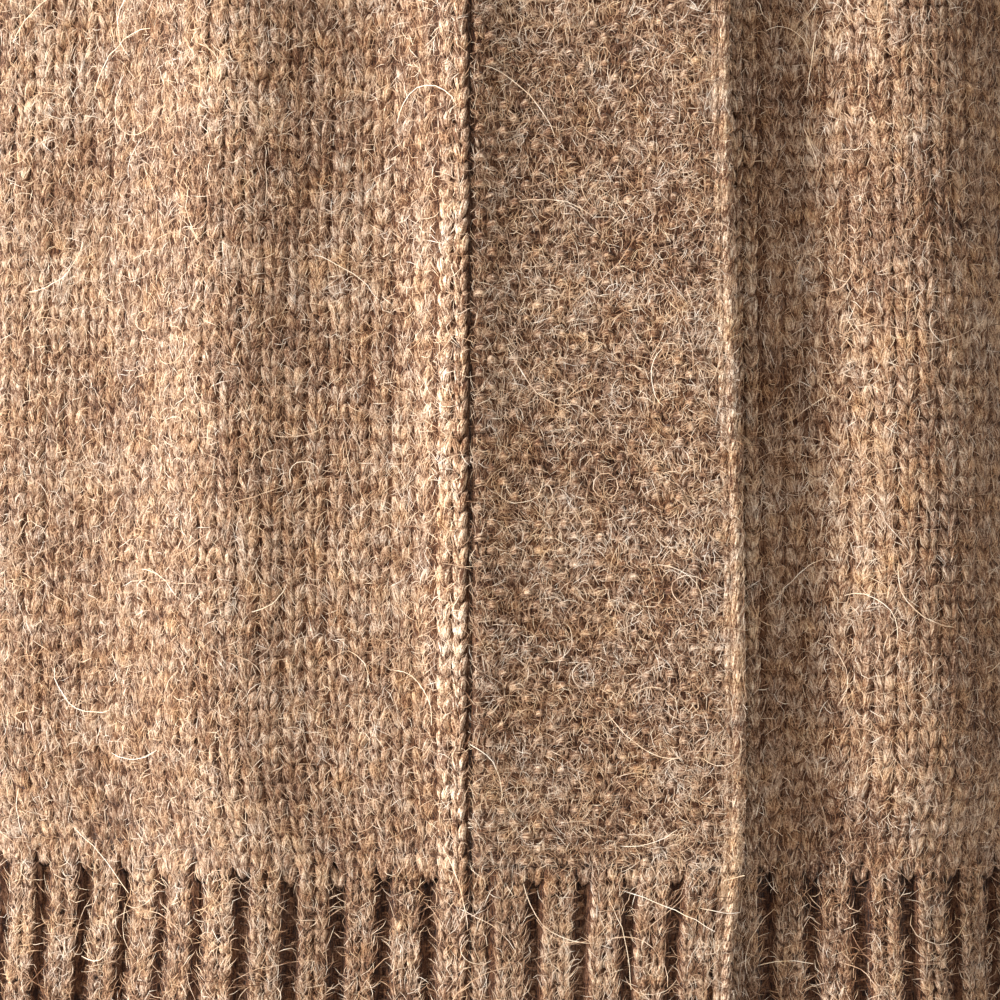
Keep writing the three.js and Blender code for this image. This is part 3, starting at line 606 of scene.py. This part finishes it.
rows = panel_rows()
top = rows[-1]
neck = neck_half / QUARTER_GIRTH / (1 - ARMHOLE_INSET)
inner = -neck * np.cos(np.linspace(0, np.pi, 17))
outer = np.linspace(neck, 1, 14)[1:]
share = np.concatenate([-outer[::-1], inner, outer])[None, :]
reach = (1 - armhole_inset(rows[:, None])) * QUARTER_GIRTH - HALF_GAP
raised = np.maximum(0, rows[:, None] - UNDERARM_UP) / (top - UNDERARM_UP)
up = rows[:, None] + raised * (back_top(share / neck * neck_half) - top)
wall = cloth_wall(body_net, 2 * QUARTER_GIRTH + share * reach, up)
cloth = make_piece("back_cloth", [wall], plain_wool)
rows = np.arange(HEM_HEIGHT + 2.2, SHOULDER_UP - 2, STITCH_TALL)
u, v = grid_of(STITCH_WIDE * (np.arange(-47, 48) + 0.5), rows)
inside = (np.abs(u) < QUARTER_GIRTH * (1 - armhole_inset(v)) - 2) & (v < back_top(u) - 4)
u, v = u[inside], v[inside]
found = vee_stitches(body_net, rng, 2 * QUARTER_GIRTH + u, v, STITCH_WIDE, STITCH_TALL, False)
stitches = make_piece("back_stitches", found, plain_wool)
u, v = rng.uniform(-300, 300, 5200), rng.uniform(HEM_HEIGHT, 940, 5200)
keep = (np.abs(u) < QUARTER_GIRTH * (1 - armhole_inset(v)) - 2) & (v < back_top(u) - 4)
fuzz = thin_nap(body_net, rng, 2 * QUARTER_GIRTH + u[keep], v[keep])
nap = make_piece("back_nap", fuzz, hair_wool)
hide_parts("back")

# FRONT BANDS. Each is a strip of moss stitch, knitted on its own and sewn to the front's edge. Knit and purl
# change places at every stitch, so small nubs stand up like a chequer. A chain of long loops finishes
# the free edge, with a painted highlight where it stands up into the light.
BAND_WIDTH = 82.0
UNDER_BAND_WIDTH = 78.0
MOSS_WIDE = 3.57
MOSS_TALL = 4.2
# The free edge of the upper band isn't quite straight: height, how far out of line
EDGE_WANDER = np.array([
    (0, 0.4), (40, 0.4), (76, 3.2), (150, 2.6), (220, 0.8), (290, -0.9), (400, -1.6), (560, 0), (962, 0),
], float)
moss_wool = wool("moss_wool", (
    (0.60, (0.080, 0.029, 0.014)), (0.82, (0.90, 0.72, 0.54)), (0.66, (0.23, 0.116, 0.063)),
    (0.71, (0.43, 0.270, 0.172)), (0.765, (0.66, 0.475, 0.33)),
))


def squared_frame(at, tangent, toward, side):
    """A place with the way across a strip, square to its run, and the way out of its face."""
    across = unit(toward - tangent * np.sum(toward * tangent, -1, keepdims=True))
    return at, across, unit(np.cross(tangent, across) * side)


def band_cloth(side):
    """The outer face of a front band, by the distance in from its seam and the height."""
    def place(width, up):
        width, up = np.broadcast_arrays(width, up)
        line = lambda q: body_cloth(side * front_edge(np.minimum(q, SHOULDER_UP)), q)
        tangent = unit(line(up + 0.5) - line(up - 0.5))
        share = smooth(up, 770, 955)[..., None]
        toward = np.array([-side, 0, 0]) * (1 - share) + np.array([-side * 0.34, 0, 1]) * share
        at, across, face = squared_frame(line(up), tangent, toward, side)
        middle = side * (along(FRONT_EDGE, 1, up) - width)
        rise = fold_rise(around_at(middle, up), up) - fold_rise(side * front_edge(up), up)
        if side < 0:
            width = width * (1 + along(EDGE_WANDER, 1, up) / BAND_WIDTH)
        return at + across * (HALF_GAP + width)[..., None] + face * rise[..., None]

    return place


band_nets = {
    -1: make_net(band_cloth(-1), (0, BAND_WIDTH), (-6, 962), 2.5),
    1: make_net(band_cloth(1), (0, UNDER_BAND_WIDTH), (-6, 962), 2.5, flip=-1),
}


def moss_stitches(net, rng, width, rows, close):
    """Nubs and sunken V's turn about, across a strip and up it."""
    count = int((width - 4.4) / MOSS_WIDE)
    i, j = grid_of(np.arange(count), np.arange(len(rows)))
    u, v = 1.6 + MOSS_WIDE * (i + 0.5), rows[j]
    nub = (i + j) % 2 == 0
    found = []
    for near, rings, sides, small in ((True, 4, 5, (2, 4)), (False, 2, 3, (1, 3))):
        pick = nub & (close(u, v) == near)
        first = len(found)
        shake = lambda size: rng.normal(0, size, pick.sum())
        if pick.any():
            found.append(strands(
                net, rng, u[pick] - 2.5 + shake(0.25), v[pick] - 0.35 + shake(0.35),
                u[pick] + 2.5 + shake(0.25), v[pick] - 0.35 + shake(0.5),
                wide=3.0 + shake(0.3), thick=1.4 + shake(0.2), rise=1.1 + shake(0.25), sink0=1.4, sink1=1.4,
                bow=-0.85, base=-0.7, rings=rings, sides=sides,
            ))
        pick = ~nub & (close(u, v) == near)
        for hand in (-1, 1):
            if pick.any():
                found.append(strands(
                    net, rng, u[pick] + hand * 0.25, v[pick] - 1.6 + shake(0.2),
                    u[pick] + hand * 1.5 + shake(0.15), v[pick] + 3.1 + shake(0.25),
                    wide=1.9, thick=0.9, rise=0.35 + shake(0.1), sink0=0.4, sink1=1.2, base=-1.2,
                    rings=small[0], sides=small[1],
                ))
        # Painted light: the coarser far nubs are painted lighter, to make up for the deeper shade on their
        # few facets.
        if not near:
            found[first:] = [scale_painted_light(lot, 1.15) for lot in found[first:]]
    return found


def swirl(u, v):
    """The way that a hair of the upper band lies: it turns about from nub to nub."""
    across = np.sin(u / 2.1 + 1.9 * np.sin(v / 3.3))
    upward = np.cos(v / 4.6 + 1.3 * np.sin(u / 5.2))
    return np.pi / 2 + 1.1 * across * upward


for side, name, width, from_up in (
    (-1, "band_right", BAND_WIDTH, HEM_HEIGHT),
    (1, "band_left", UNDER_BAND_WIDTH, 390.0),
):
    rng = np.random.default_rng(31 + side)
    net = band_nets[side]
    across = np.concatenate([[0, 0.7, 1.1], np.linspace(6, width - 2 * HALF_GAP, 9)])[None, :: -side]
    face = np.where(across < 0.9, -2.6, -0.9)
    cloth = make_piece(
        f"{name}_cloth", [cloth_wall(net, across, panel_rows()[:, None], face, -3.6)], moss_wool,
    )
    close = (lambda u, v: v < CLOSE_UP[1]) if side < 0 else (lambda u, v: v < 0)
    found = moss_stitches(net, rng, width, np.arange(from_up + 2, SHOULDER_UP - 2, MOSS_TALL), close)
    rows = np.arange(from_up, SHOULDER_UP - 4, MOSS_TALL)
    for near, rings, sides in ((True, 4, 5), (False, 1, 3)):
        v = rows[close(0, rows) == near]
        if len(v):
            shake = lambda size: rng.normal(0, size, len(v))
            for shift, wide, base in ((2.1, 4.1, 1.0), (4.7, 2.6, -0.1)):
                edge = strands(
                    net, rng, width - shift - 0.8 + shake(0.2), v - 1.6 + shake(0.4),
                    width - shift + 0.7 + shake(0.2), v + 6.2 + shake(0.4),
                    wide=wide + shake(0.2), thick=1.6, rise=0.4, sink0=0.4, sink1=0.8, base=base - 0.5,
                    rings=rings, sides=sides,
                )
                # Painted highlight: the raised edge chain is painted lighter.
                found.append(scale_painted_light(edge, 1.35))
    stitches = make_piece(f"{name}_stitches", found, moss_wool)
    u, v = rng.uniform(3, width - 3, 1500), rng.uniform(CLOSE_UP[1] if side < 0 else 400, 955, 1500)
    fuzz = thin_nap(net, rng, u, v)
    if side < 0:
        fuzz += close_nap(net, rng, (1, width - 3), NAP_UP, swirl, 0.96, base=0.05, keep=thins_out)
        upright = lambda u, v: 0 * u + 1.4
        fuzz += close_nap(net, rng, (width - 4.5, width), NAP_UP, upright, 1.1, base=1.1, keep=thins_out)
    nap = make_piece(f"{name}_nap", fuzz, hair_wool)
    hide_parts(name)

# COLLAR. The two bands run on round the back of the neck as one standing collar in the same moss stitch.
# It is sewn along the back's neck edge, and both its faces show.
rng = np.random.default_rng(41)


def collar_line(angle):
    """The back's neck edge, that the collar stands on."""
    around = 2 * QUARTER_GIRTH + neck_half * np.cos(angle)
    return body_cloth(around, SHOULDER_UP - BACK_NECK_DROP * np.sin(angle))


sweep = np.linspace(0, np.pi, 181)
collar_length = float(np.sum(np.linalg.norm(np.diff(collar_line(sweep), axis=0), axis=1)))


def collar_cloth(width, far):
    """The outer face of the collar, by the distance up from the neck edge and the distance along it."""
    width, far = np.broadcast_arrays(width, far)
    ends = 0.3 / BACK_NECK_DROP / np.pi
    angle = np.pi * np.clip(far / collar_length, ends, 1 - ends)
    tangent = unit(collar_line(angle + ends) - collar_line(angle - ends))
    toward = np.stack([0.34 * np.cos(angle), 0.16 * np.sin(angle), 1 + 0 * angle], -1)
    at, across, _ = squared_frame(collar_line(angle), tangent, toward, -1)
    return at + across * (0.3 + width)[..., None]


collar_net = make_net(collar_cloth, (-1, BAND_WIDTH), (0, collar_length), 2.5)
inside_net = dict(collar_net)
inside_net["points"] = collar_net["points"] - 4.0 * collar_net["normals"]
inside_net["normals"] = -collar_net["normals"]
inside_net["flip"] = -1
width, far = np.linspace(-0.9, BAND_WIDTH - 0.3, 12)[None, :], np.linspace(0, collar_length, 30)[:, None]
cloth = make_piece("collar_cloth", [cloth_wall(collar_net, width, far, -0.9, -3.1)], moss_wool)
rows = np.arange(2, collar_length - 1, MOSS_TALL)
found = []
for net in (collar_net, inside_net):
    found += moss_stitches(net, rng, BAND_WIDTH, rows, lambda u, v: v < 0)
    found.append(strands(
        net, rng, BAND_WIDTH - 2.2, rows - 1, BAND_WIDTH - 1.4, rows + 6,
        wide=2.8, thick=1.4, rise=0.4, sink0=0.5, sink1=0.9, base=-0.2, rings=1, sides=3,
    ))
stitches = make_piece("collar_stitches", found, moss_wool)
fuzz = thin_nap(collar_net, rng, rng.uniform(3, 79, 320), rng.uniform(3, collar_length - 3, 320))
fuzz += thin_nap(inside_net, rng, rng.uniform(3, 79, 260), rng.uniform(3, collar_length - 3, 260))
nap = make_piece("collar_nap", fuzz, hair_wool)
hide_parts("collar")

# RIBBED HEM. Two knit columns and two purl columns turn about: the knit pairs stand up as ribs, and the purls
# sink between them as gutters, dark with their own shade and a painted shade. It is knitted on below the
# fronts, the back and both bands.
RIB_ROW = 4.0
# Shares of the way from one rib to the next
RIB_MIDDLE = 0.355
GUTTER_MIDDLE = 0.853
rib_wool = wool("rib_wool", (
    (0.60, (0.075, 0.030, 0.015)), (0.82, (0.95, 0.77, 0.58)), (0.66, (0.25, 0.130, 0.072)),
    (0.71, (0.48, 0.305, 0.196)), (0.765, (0.72, 0.52, 0.362)),
), depth=0.9)


def rib_wall(net, lines, back=-3.1, rows=(0, 23, 46, HEM_HEIGHT), closed=False):
    """The ribs' own wall; lines are the distances across it and how far out the face is at each."""
    across = np.array([line[0] for line in lines])[None, :]
    face = np.array([line[1] for line in lines])[None, :]
    return cloth_wall(net, across, np.array(rows, float)[:, None], face, back, closed)


def rib_yarn(net, rng, centres, gutters, close, wide=4.7):
    """Two columns of V's on every rib, sunken purl loops in the gutters and a rolled cast-on edge."""
    rows = np.arange(1.8, HEM_HEIGHT - 0.5, RIB_ROW)
    pairs = np.concatenate([centres - wide / 2, centres + wide / 2])
    u, v = grid_of(pairs, rows)
    found = vee_stitches(net, rng, u, v, wide, RIB_ROW, close(u, v), 0.95)
    u, v = grid_of(gutters, rows)
    for near, rings, sides in ((True, 3, 4), (False, 1, 3)):
        pick = close(u, v) == near
        if pick.any():
            shake = lambda size: rng.normal(0, size, pick.sum())
            purl = strands(
                net, rng, u[pick] - 2.6, v[pick] + shake(0.5), u[pick] + 2.6, v[pick] + shake(0.5),
                wide=2.6, thick=0.9, rise=0.5, sink0=0.6, sink1=0.6, bow=-0.5, base=-3.0,
                rings=rings, sides=sides,
            )
            # Painted shade: the purl loops sunk in the gutters are painted dark.
            found.append(scale_painted_light(purl, 0.35))
    tops = HEM_HEIGHT - 4.2 + rng.normal(0, 1.3, len(gutters))
    found += vee_stitches(net, rng, gutters, tops, 5.4, STITCH_TALL, close(gutters, tops), -0.3)
    u = np.sort(np.append(pairs, gutters))
    drop = np.where(np.isin(u, gutters), -1.4, 0.3)
    found.append(strands(
        net, rng, u - 3.0, 0.8, u + 3.0, 0.8,
        wide=2.6, thick=1.3, rise=0.3, sink0=0.5, sink1=0.5, bow=0.4, base=drop - 0.6, rings=2, sides=4,
    ))
    return found


for name, start, end, count, near in (
    ("hem_right", -QUARTER_GIRTH + HALF_GAP, -float(front_edge(0)) - HALF_GAP, 18, (-212, -42)),
    ("hem_left", float(front_edge(0)) + HALF_GAP, QUARTER_GIRTH - HALF_GAP, 18, (42, 134)),
    ("hem_back", QUARTER_GIRTH + HALF_GAP, 3 * QUARTER_GIRTH - HALF_GAP, 42, None),
):
    rng = np.random.default_rng(51 + count + len(name))
    pitch = (end - start) / count
    first, step = (start, pitch) if start > 0 else (end, -pitch)
    # Across one rib and its gutter: share of the pitch, how far out the face is
    spots = [(0.0, -0.6), (0.05, -0.3), (0.655, -0.3), (0.72, -2.5), (0.975, -2.5)]
    lines = [(first + step * (i + spot), out) for i in range(count) for spot, out in spots]
    lines = sorted(lines + [(first + step * count, -0.6)])
    cloth = make_piece(f"{name}_cloth", [rib_wall(body_net, lines)], rib_wool)
    centres = first + step * (np.arange(count) + RIB_MIDDLE)
    gutters = first + step * (np.arange(count) + GUTTER_MIDDLE)
    stitches = make_piece(
        f"{name}_stitches", rib_yarn(body_net, rng, centres, gutters, seen_close), rib_wool,
    )
    count = int(3.2 * (end - start))
    u, v = rng.uniform(start, end, count), rng.uniform(0, HEM_HEIGHT, count)
    keep = ~seen_close(u, v)
    fuzz = thin_nap(body_net, rng, u[keep], v[keep])
    if near:
        on_rib = lambda u, v: np.abs((u - centres[0]) / step - np.round((u - centres[0]) / step)) < 0.33
        upright = lambda u, v: np.pi / 2 + 0.32 * np.sign(np.sin(2 * np.pi * (u - centres[0]) / 4.7))
        fuzz += close_nap(body_net, rng, near, (14, HEM_HEIGHT), upright, 0.8, 0.82, 0.85, on_rib)
    nap = make_piece(f"{name}_nap", fuzz, hair_wool)
    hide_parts(name)

# The feet of the bands: four ribs and a wide one at the finished edge, by their two sides, and the gutters
BAND_RIBS = ((7.2, 18.6), (21.8, 33.0), (36.4, 47.8), (51.0, 61.4), (64.8, 81.2))
BAND_GUTTERS = (20.2, 34.7, 49.4, 63.1)
for side, name, width in ((-1, "band_rib_right", BAND_WIDTH), (1, "band_rib_left", UNDER_BAND_WIDTH)):
    rng = np.random.default_rng(61 + side)
    net = band_nets[side]
    lines = [(0.0, -2.5), (5.9, -2.5)]
    for low, high in BAND_RIBS:
        high = min(high, width - 0.6)
        lines += [(low + 0.4, -0.4), (high - 0.4, -0.4), (high + 0.4, -2.7), (high + 2.2, -2.7)]
    lines = lines[:-2] + [(width - 0.3, -0.6)]
    wall = rib_wall(net, lines[:: -side], -3.8)
    cloth = make_piece(f"{name}_cloth", [wall], rib_wool)
    centres = np.array([(low + min(high, width)) / 2 for low, high in BAND_RIBS])
    centres[-1] = BAND_RIBS[-1][0] + 5.3
    gutters = np.array(BAND_GUTTERS)
    close = (lambda u, v: v > CLOSE_UP[0]) if side < 0 else (lambda u, v: v < 0)
    found = rib_yarn(net, rng, centres, gutters, close, 4.9)
    rows = np.arange(0, HEM_HEIGHT - 2, RIB_ROW)
    shake = lambda size: rng.normal(0, size, len(rows))
    found += vee_stitches(net, rng, 3.0, rows + 1, 5.6, RIB_ROW, side < 0, -1.0)
    for shift, wide, base in ((2.1, 4.1, 1.2), (4.9, 2.8, 0.2)):
        edge = strands(
            net, rng, width - shift - 0.7, rows - 1 + shake(0.3),
            width - shift + 0.6, rows + 5.8 + shake(0.3),
            wide=wide, thick=1.6, rise=0.4, sink0=0.4, sink1=0.8, base=base - 0.6,
        )
        # Painted highlight: the raised finished edge of the band's foot is painted lighter.
        found.append(scale_painted_light(edge, 1.3))
    stitches = make_piece(f"{name}_stitches", found, rib_wool)
    if side < 0:
        raised = np.append(centres, (1.5, width - 4))[None, :]
        on_rib = lambda u, v: np.min(np.abs(u[:, None] - raised), 1) < 4.6
        upright = lambda u, v: 0 * u + 1.5
        fuzz = close_nap(net, rng, (1, width), (12, HEM_HEIGHT), upright, 0.85, 0.84, 0.8, on_rib)
    else:
        fuzz = thin_nap(net, rng, rng.uniform(2, 76, 60), rng.uniform(2, 68, 60))
    nap = make_piece(f"{name}_nap", fuzz, hair_wool)
    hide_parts(name)

# SLEEVES. Each is a tapered tube of plain knitting, sewn into the armhole and seamed under the arm.
# It hangs at the side with a few soft creases at the elbow and a slouch above the cuff.
# Rings down the sleeve: top line x and height, under line x and height, half depth, how far forward, seam
SLEEVE_RINGS = np.array([
    (0, 203, 852, 226, 640, 67, 0, 1),
    (1, 222, 846.5, 230.5, 644.5, 68, 0, 0.5),
    (2, 246, 833, 236.5, 643, 70, 0, 0.15),
    (3, 274, 808, 242, 633, 71, 0, 0),
    (4, 299, 771, 245, 615, 71, 1, 0),
    (5, 318, 726, 247.5, 592, 70, 3, 0),
    (6, 332, 676, 251, 563, 68, 6, 0),
    (7, 342, 622, 254, 529, 66, 10, 0),
    (8, 350, 566, 260, 492, 63, 15, 0),
    (9, 355, 514, 266, 460, 60, 20, 0),
    (10, 358, 470, 271, 434, 57, 25, 0),
    (11, 358, 438, 276, 420, 52, 29, 0),
    (12, 354, 420, 280, 411, 45, 31, 0),
], float)
# Creases: place down the sleeve and round it in degrees, length, reach round, height
SLEEVE_FOLDS = (
    (4.4, 205, 0.8, 50, -6), (5.8, 170, 0.7, 60, 5), (7.2, 120, 0.8, 60, -5), (8.2, 60, 0.8, 60, 4),
    (9.4, 180, 0.7, 70, -4), (10.4, 90, 0.6, 90, 3.5), (10.6, 270, 0.6, 80, 3.5),
)
edge_up = np.concatenate([
    UNDERARM_UP + ARMHOLE_CURVE_UP * (1 - np.cos(np.linspace(0, np.pi / 2, 40))),
    np.linspace(UNDERARM_UP + ARMHOLE_CURVE_UP, SHOULDER_UP, 40)[1:],
])
edge_points = body_form(QUARTER_GIRTH * (1 - armhole_inset(edge_up)), edge_up)
edge_far = np.concatenate([[0], np.cumsum(np.linalg.norm(np.diff(edge_points, axis=0), axis=1))])
edge_turn = np.pi * (1 - edge_far / edge_far[-1])


def ring_point(rings, side, turn, at):
    """A place on a tube given by rings; turn 0 is its top line."""
    top_x, top_up, under_x, under_up, depth, forward = (along(rings, n, at) for n in range(1, 7))
    cos = np.cos(turn)
    x = (top_x + under_x) / 2 + cos * (top_x - under_x) / 2
    z = (top_up + under_up) / 2 + cos * (top_up - under_up) / 2
    return np.stack([side * x, -forward - np.sin(turn) * depth, z - COAT_LENGTH + 0 * x], -1)


def armhole_point(side, turn):
    """A place on the edge of the armhole, which the sleeve's first ring follows."""
    turn = turn % (2 * np.pi)
    up = np.interp(np.where(turn > np.pi, 2 * np.pi - turn, turn), edge_turn[::-1], edge_up[::-1])
    front = np.where(turn > np.pi, -1, 1)
    return body_cloth(side * QUARTER_GIRTH * (1 - front * armhole_inset(up)), up)


def sleeve_point(side, turn, at):
    """A place on a sleeve, with its creases."""
    turn, at = np.broadcast_arrays(turn, at)
    seam = np.maximum(0, along(SLEEVE_RINGS, 7, at))[..., None]
    plain = ring_point(SLEEVE_RINGS, side, turn, at)
    shift = (armhole_point(side, turn) - ring_point(SLEEVE_RINGS, side, turn, 0 * at)) * seam
    rise = 0
    for down, place, length, reach, height in SLEEVE_FOLDS:
        off = np.degrees(turn) - place
        off = (off - 360 * np.round(off / 360)) / reach
        rise = rise + height * np.exp(-0.5 * (off**2 + ((at - down) / length) ** 2))
    return plain + shift + unit(plain - ring_point(SLEEVE_RINGS, side, turn + np.pi, at)) * rise[..., None]


SLEEVE_TURNS = 72
SLEEVE_PLACES = 96
turns = np.linspace(-np.pi, np.pi, SLEEVE_TURNS + 1)
places = np.linspace(12, 0, SLEEVE_PLACES + 1)
for side, name in ((-1, "sleeve_right"), (1, "sleeve_left")):
    rng = np.random.default_rng(71 + side)
    spread = sleeve_point(side, turns[None, :], places[:, None])
    steps = np.linalg.norm(np.diff(spread, axis=0), axis=2)
    runs = np.concatenate([0 * steps[:1], np.cumsum(steps, 0)])
    lengths = runs[-1]
    half_girths = 0.5 * np.sum(np.linalg.norm(np.diff(spread, axis=1), axis=2), 1)
    girth_shares = runs.mean(1) / runs.mean(1)[-1]

    def sleeve_place(turn, share):
        turn, share = np.broadcast_arrays(turn, share)
        at = np.empty(turn.shape)
        for n in range(turn.shape[1]):
            nearest = int(round((turn[0, n] + np.pi) / (2 * np.pi) * SLEEVE_TURNS))
            at[:, n] = np.interp(share[:, n], runs[:, nearest] / lengths[nearest], places)
        return sleeve_point(side, turn, at)

    def warp(far_round, far_up):
        share = np.clip(far_up / lengths.mean(), 0, 1)
        for _ in range(3):
            turn = np.clip(far_round / np.interp(share, girth_shares, half_girths), -1, 1) * np.pi
            share = far_up / np.interp(turn, turns, lengths)
        return turn, share

    step = (2 * np.pi / SLEEVE_TURNS, 1 / SLEEVE_PLACES)
    raw_net = make_net(sleeve_place, (-np.pi, np.pi), (0, 1), step, flip=-side)
    normals = raw_net["normals"]
    normals[:, 0] = normals[:, -1] = unit(normals[:, 0] + normals[:, -1])
    net = dict(raw_net, warp=warp)
    wall = cloth_wall(raw_net, turns[None, :-1:2], np.linspace(0, 1, 49)[:, None], closed=True)
    cloth = make_piece(f"{name}_cloth", [wall], plain_wool)
    u, v = grid_of(STITCH_WIDE * np.arange(-35, 36), np.arange(2.0, lengths.max(), STITCH_TALL))
    turn, share = warp(u, v)
    inside = (share < 0.99) & (np.abs(turn) < np.pi - 0.01)
    found = vee_stitches(net, rng, u[inside], v[inside], STITCH_WIDE, STITCH_TALL, False)
    stitches = make_piece(f"{name}_stitches", found, plain_wool)
    u, v = rng.uniform(-225, 225, 3200), rng.uniform(3, lengths.max(), 3200)
    turn, share = warp(u, v)
    inside = (share < 0.97) & (np.abs(turn) < np.pi - 0.05)
    nap = make_piece(f"{name}_nap", thin_nap(net, rng, u[inside], v[inside]), hair_wool)
    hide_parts(name)

# CUFFS. Short tubes of the same two by two rib, knitted on below the sleeves.
# They draw the sleeves in, so that each sleeve slouches over its cuff.
# Rings down the cuff, with the same columns as those of the sleeve
CUFF_RINGS = np.array([
    (0, 354, 419.5, 280, 410.5, 45, 31),
    (1, 357, 385, 284.5, 376, 43.5, 35),
    (2, 360.5, 350, 289, 341, 43, 39),
], float)
CUFF_RIBS = 17
CUFF_GIRTH = 255.0
for side, name in ((-1, "cuff_right"), (1, "cuff_left")):
    rng = np.random.default_rng(81 + side)
    turn_at = lambda u: 2 * np.pi * u / CUFF_GIRTH
    cuff_place = lambda u, v: ring_point(CUFF_RINGS, side, turn_at(u) + 0 * v, 2 - v / 35 + 0 * u)
    net = make_net(cuff_place, (-15, CUFF_GIRTH + 15), (0, 70), 2.5, flip=-side)
    pitch = CUFF_GIRTH / CUFF_RIBS
    spots = ((0.0, -0.5), (0.05, -0.3), (0.66, -0.3), (0.735, -2.3), (0.965, -2.3))
    lines = [(pitch * (i + spot), out) for i in range(CUFF_RIBS) for spot, out in spots]
    cloth = make_piece(f"{name}_cloth", [rib_wall(net, lines, closed=True)], rib_wool)
    centres = pitch * (np.arange(CUFF_RIBS) + RIB_MIDDLE)
    gutters = pitch * (np.arange(CUFF_RIBS) + GUTTER_MIDDLE)
    found = rib_yarn(net, rng, centres, gutters, lambda u, v: v < 0)
    stitches = make_piece(f"{name}_stitches", found, rib_wool)
    fuzz = thin_nap(net, rng, rng.uniform(0, CUFF_GIRTH, 420), rng.uniform(2, 68, 420))
    nap = make_piece(f"{name}_nap", fuzz, hair_wool)
    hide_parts(name)

# STAGE. A plain pale floor and soft studio lights. The strongest stands on the left, where the light in the
# photograph comes from, and rakes across the folds and the ribs. The room gives back a little warm light.
scene = bpy.context.scene
floor_mesh = bpy.data.meshes.new("floor")
floor_mesh.from_pydata([(-6, -6, -1.35), (6, -6, -1.35), (6, 6, -1.35), (-6, 6, -1.35)], [], [(0, 1, 2, 3)])
floor = bpy.data.objects.new("floor", floor_mesh)
scene.collection.objects.link(floor)
floor_paint = bpy.data.materials.new("floor_paint")
floor_paint.use_nodes = True
paint = floor_paint.node_tree.nodes["Principled BSDF"].inputs
paint["Base Color"].default_value = (0.78, 0.76, 0.73, 1)
paint["Roughness"].default_value = 0.9
floor_mesh.materials.append(floor_paint)
world = bpy.data.worlds.new("studio")
scene.world = world
world.use_nodes = True
sky = world.node_tree.nodes["Background"].inputs
sky["Color"].default_value = (1.0, 0.85, 0.70, 1)
sky["Strength"].default_value = 0.25


def soft_light(name, at, toward, size, power, colour):
    light = bpy.data.lights.new(name, "AREA")
    light.shape = "DISK"
    light.size = size
    light.energy = power
    light.color = colour
    lamp = bpy.data.objects.new(name, light)
    scene.collection.objects.link(lamp)
    lamp.location = at
    lamp.rotation_euler = (Vector(toward) - Vector(at)).to_track_quat("-Z", "Y").to_euler()


soft_light("window", (-2.3, -1.15, 0.1), (0, -0.1, -0.6), 0.8, 143, (1.0, 0.965, 0.92))
soft_light("front_fill", (0.7, -2.6, 0.5), (0, 0, -0.5), 1.8, 12, (1.0, 0.98, 0.96))
soft_light("back_fill", (1.2, 2.6, 0.8), (0, 0, -0.5), 1.8, 45, (1.0, 0.98, 0.96))

# CAMERA. Level and square on, close to the lower front, as the photograph is. It sees a part of the upper
# front, the upper band, a strip of the under front and the top of the ribbed hem.
camera = bpy.data.cameras.new("camera")
camera.lens = 72
camera.sensor_width = 36
camera.clip_start = 0.02
viewer = bpy.data.objects.new("camera", camera)
scene.collection.objects.link(viewer)
viewer.location = (-0.031, -0.760, -0.7153)
viewer.rotation_euler = (np.pi / 2, 0, 0)
scene.camera = viewer
scene.view_settings.view_transform = "Standard"
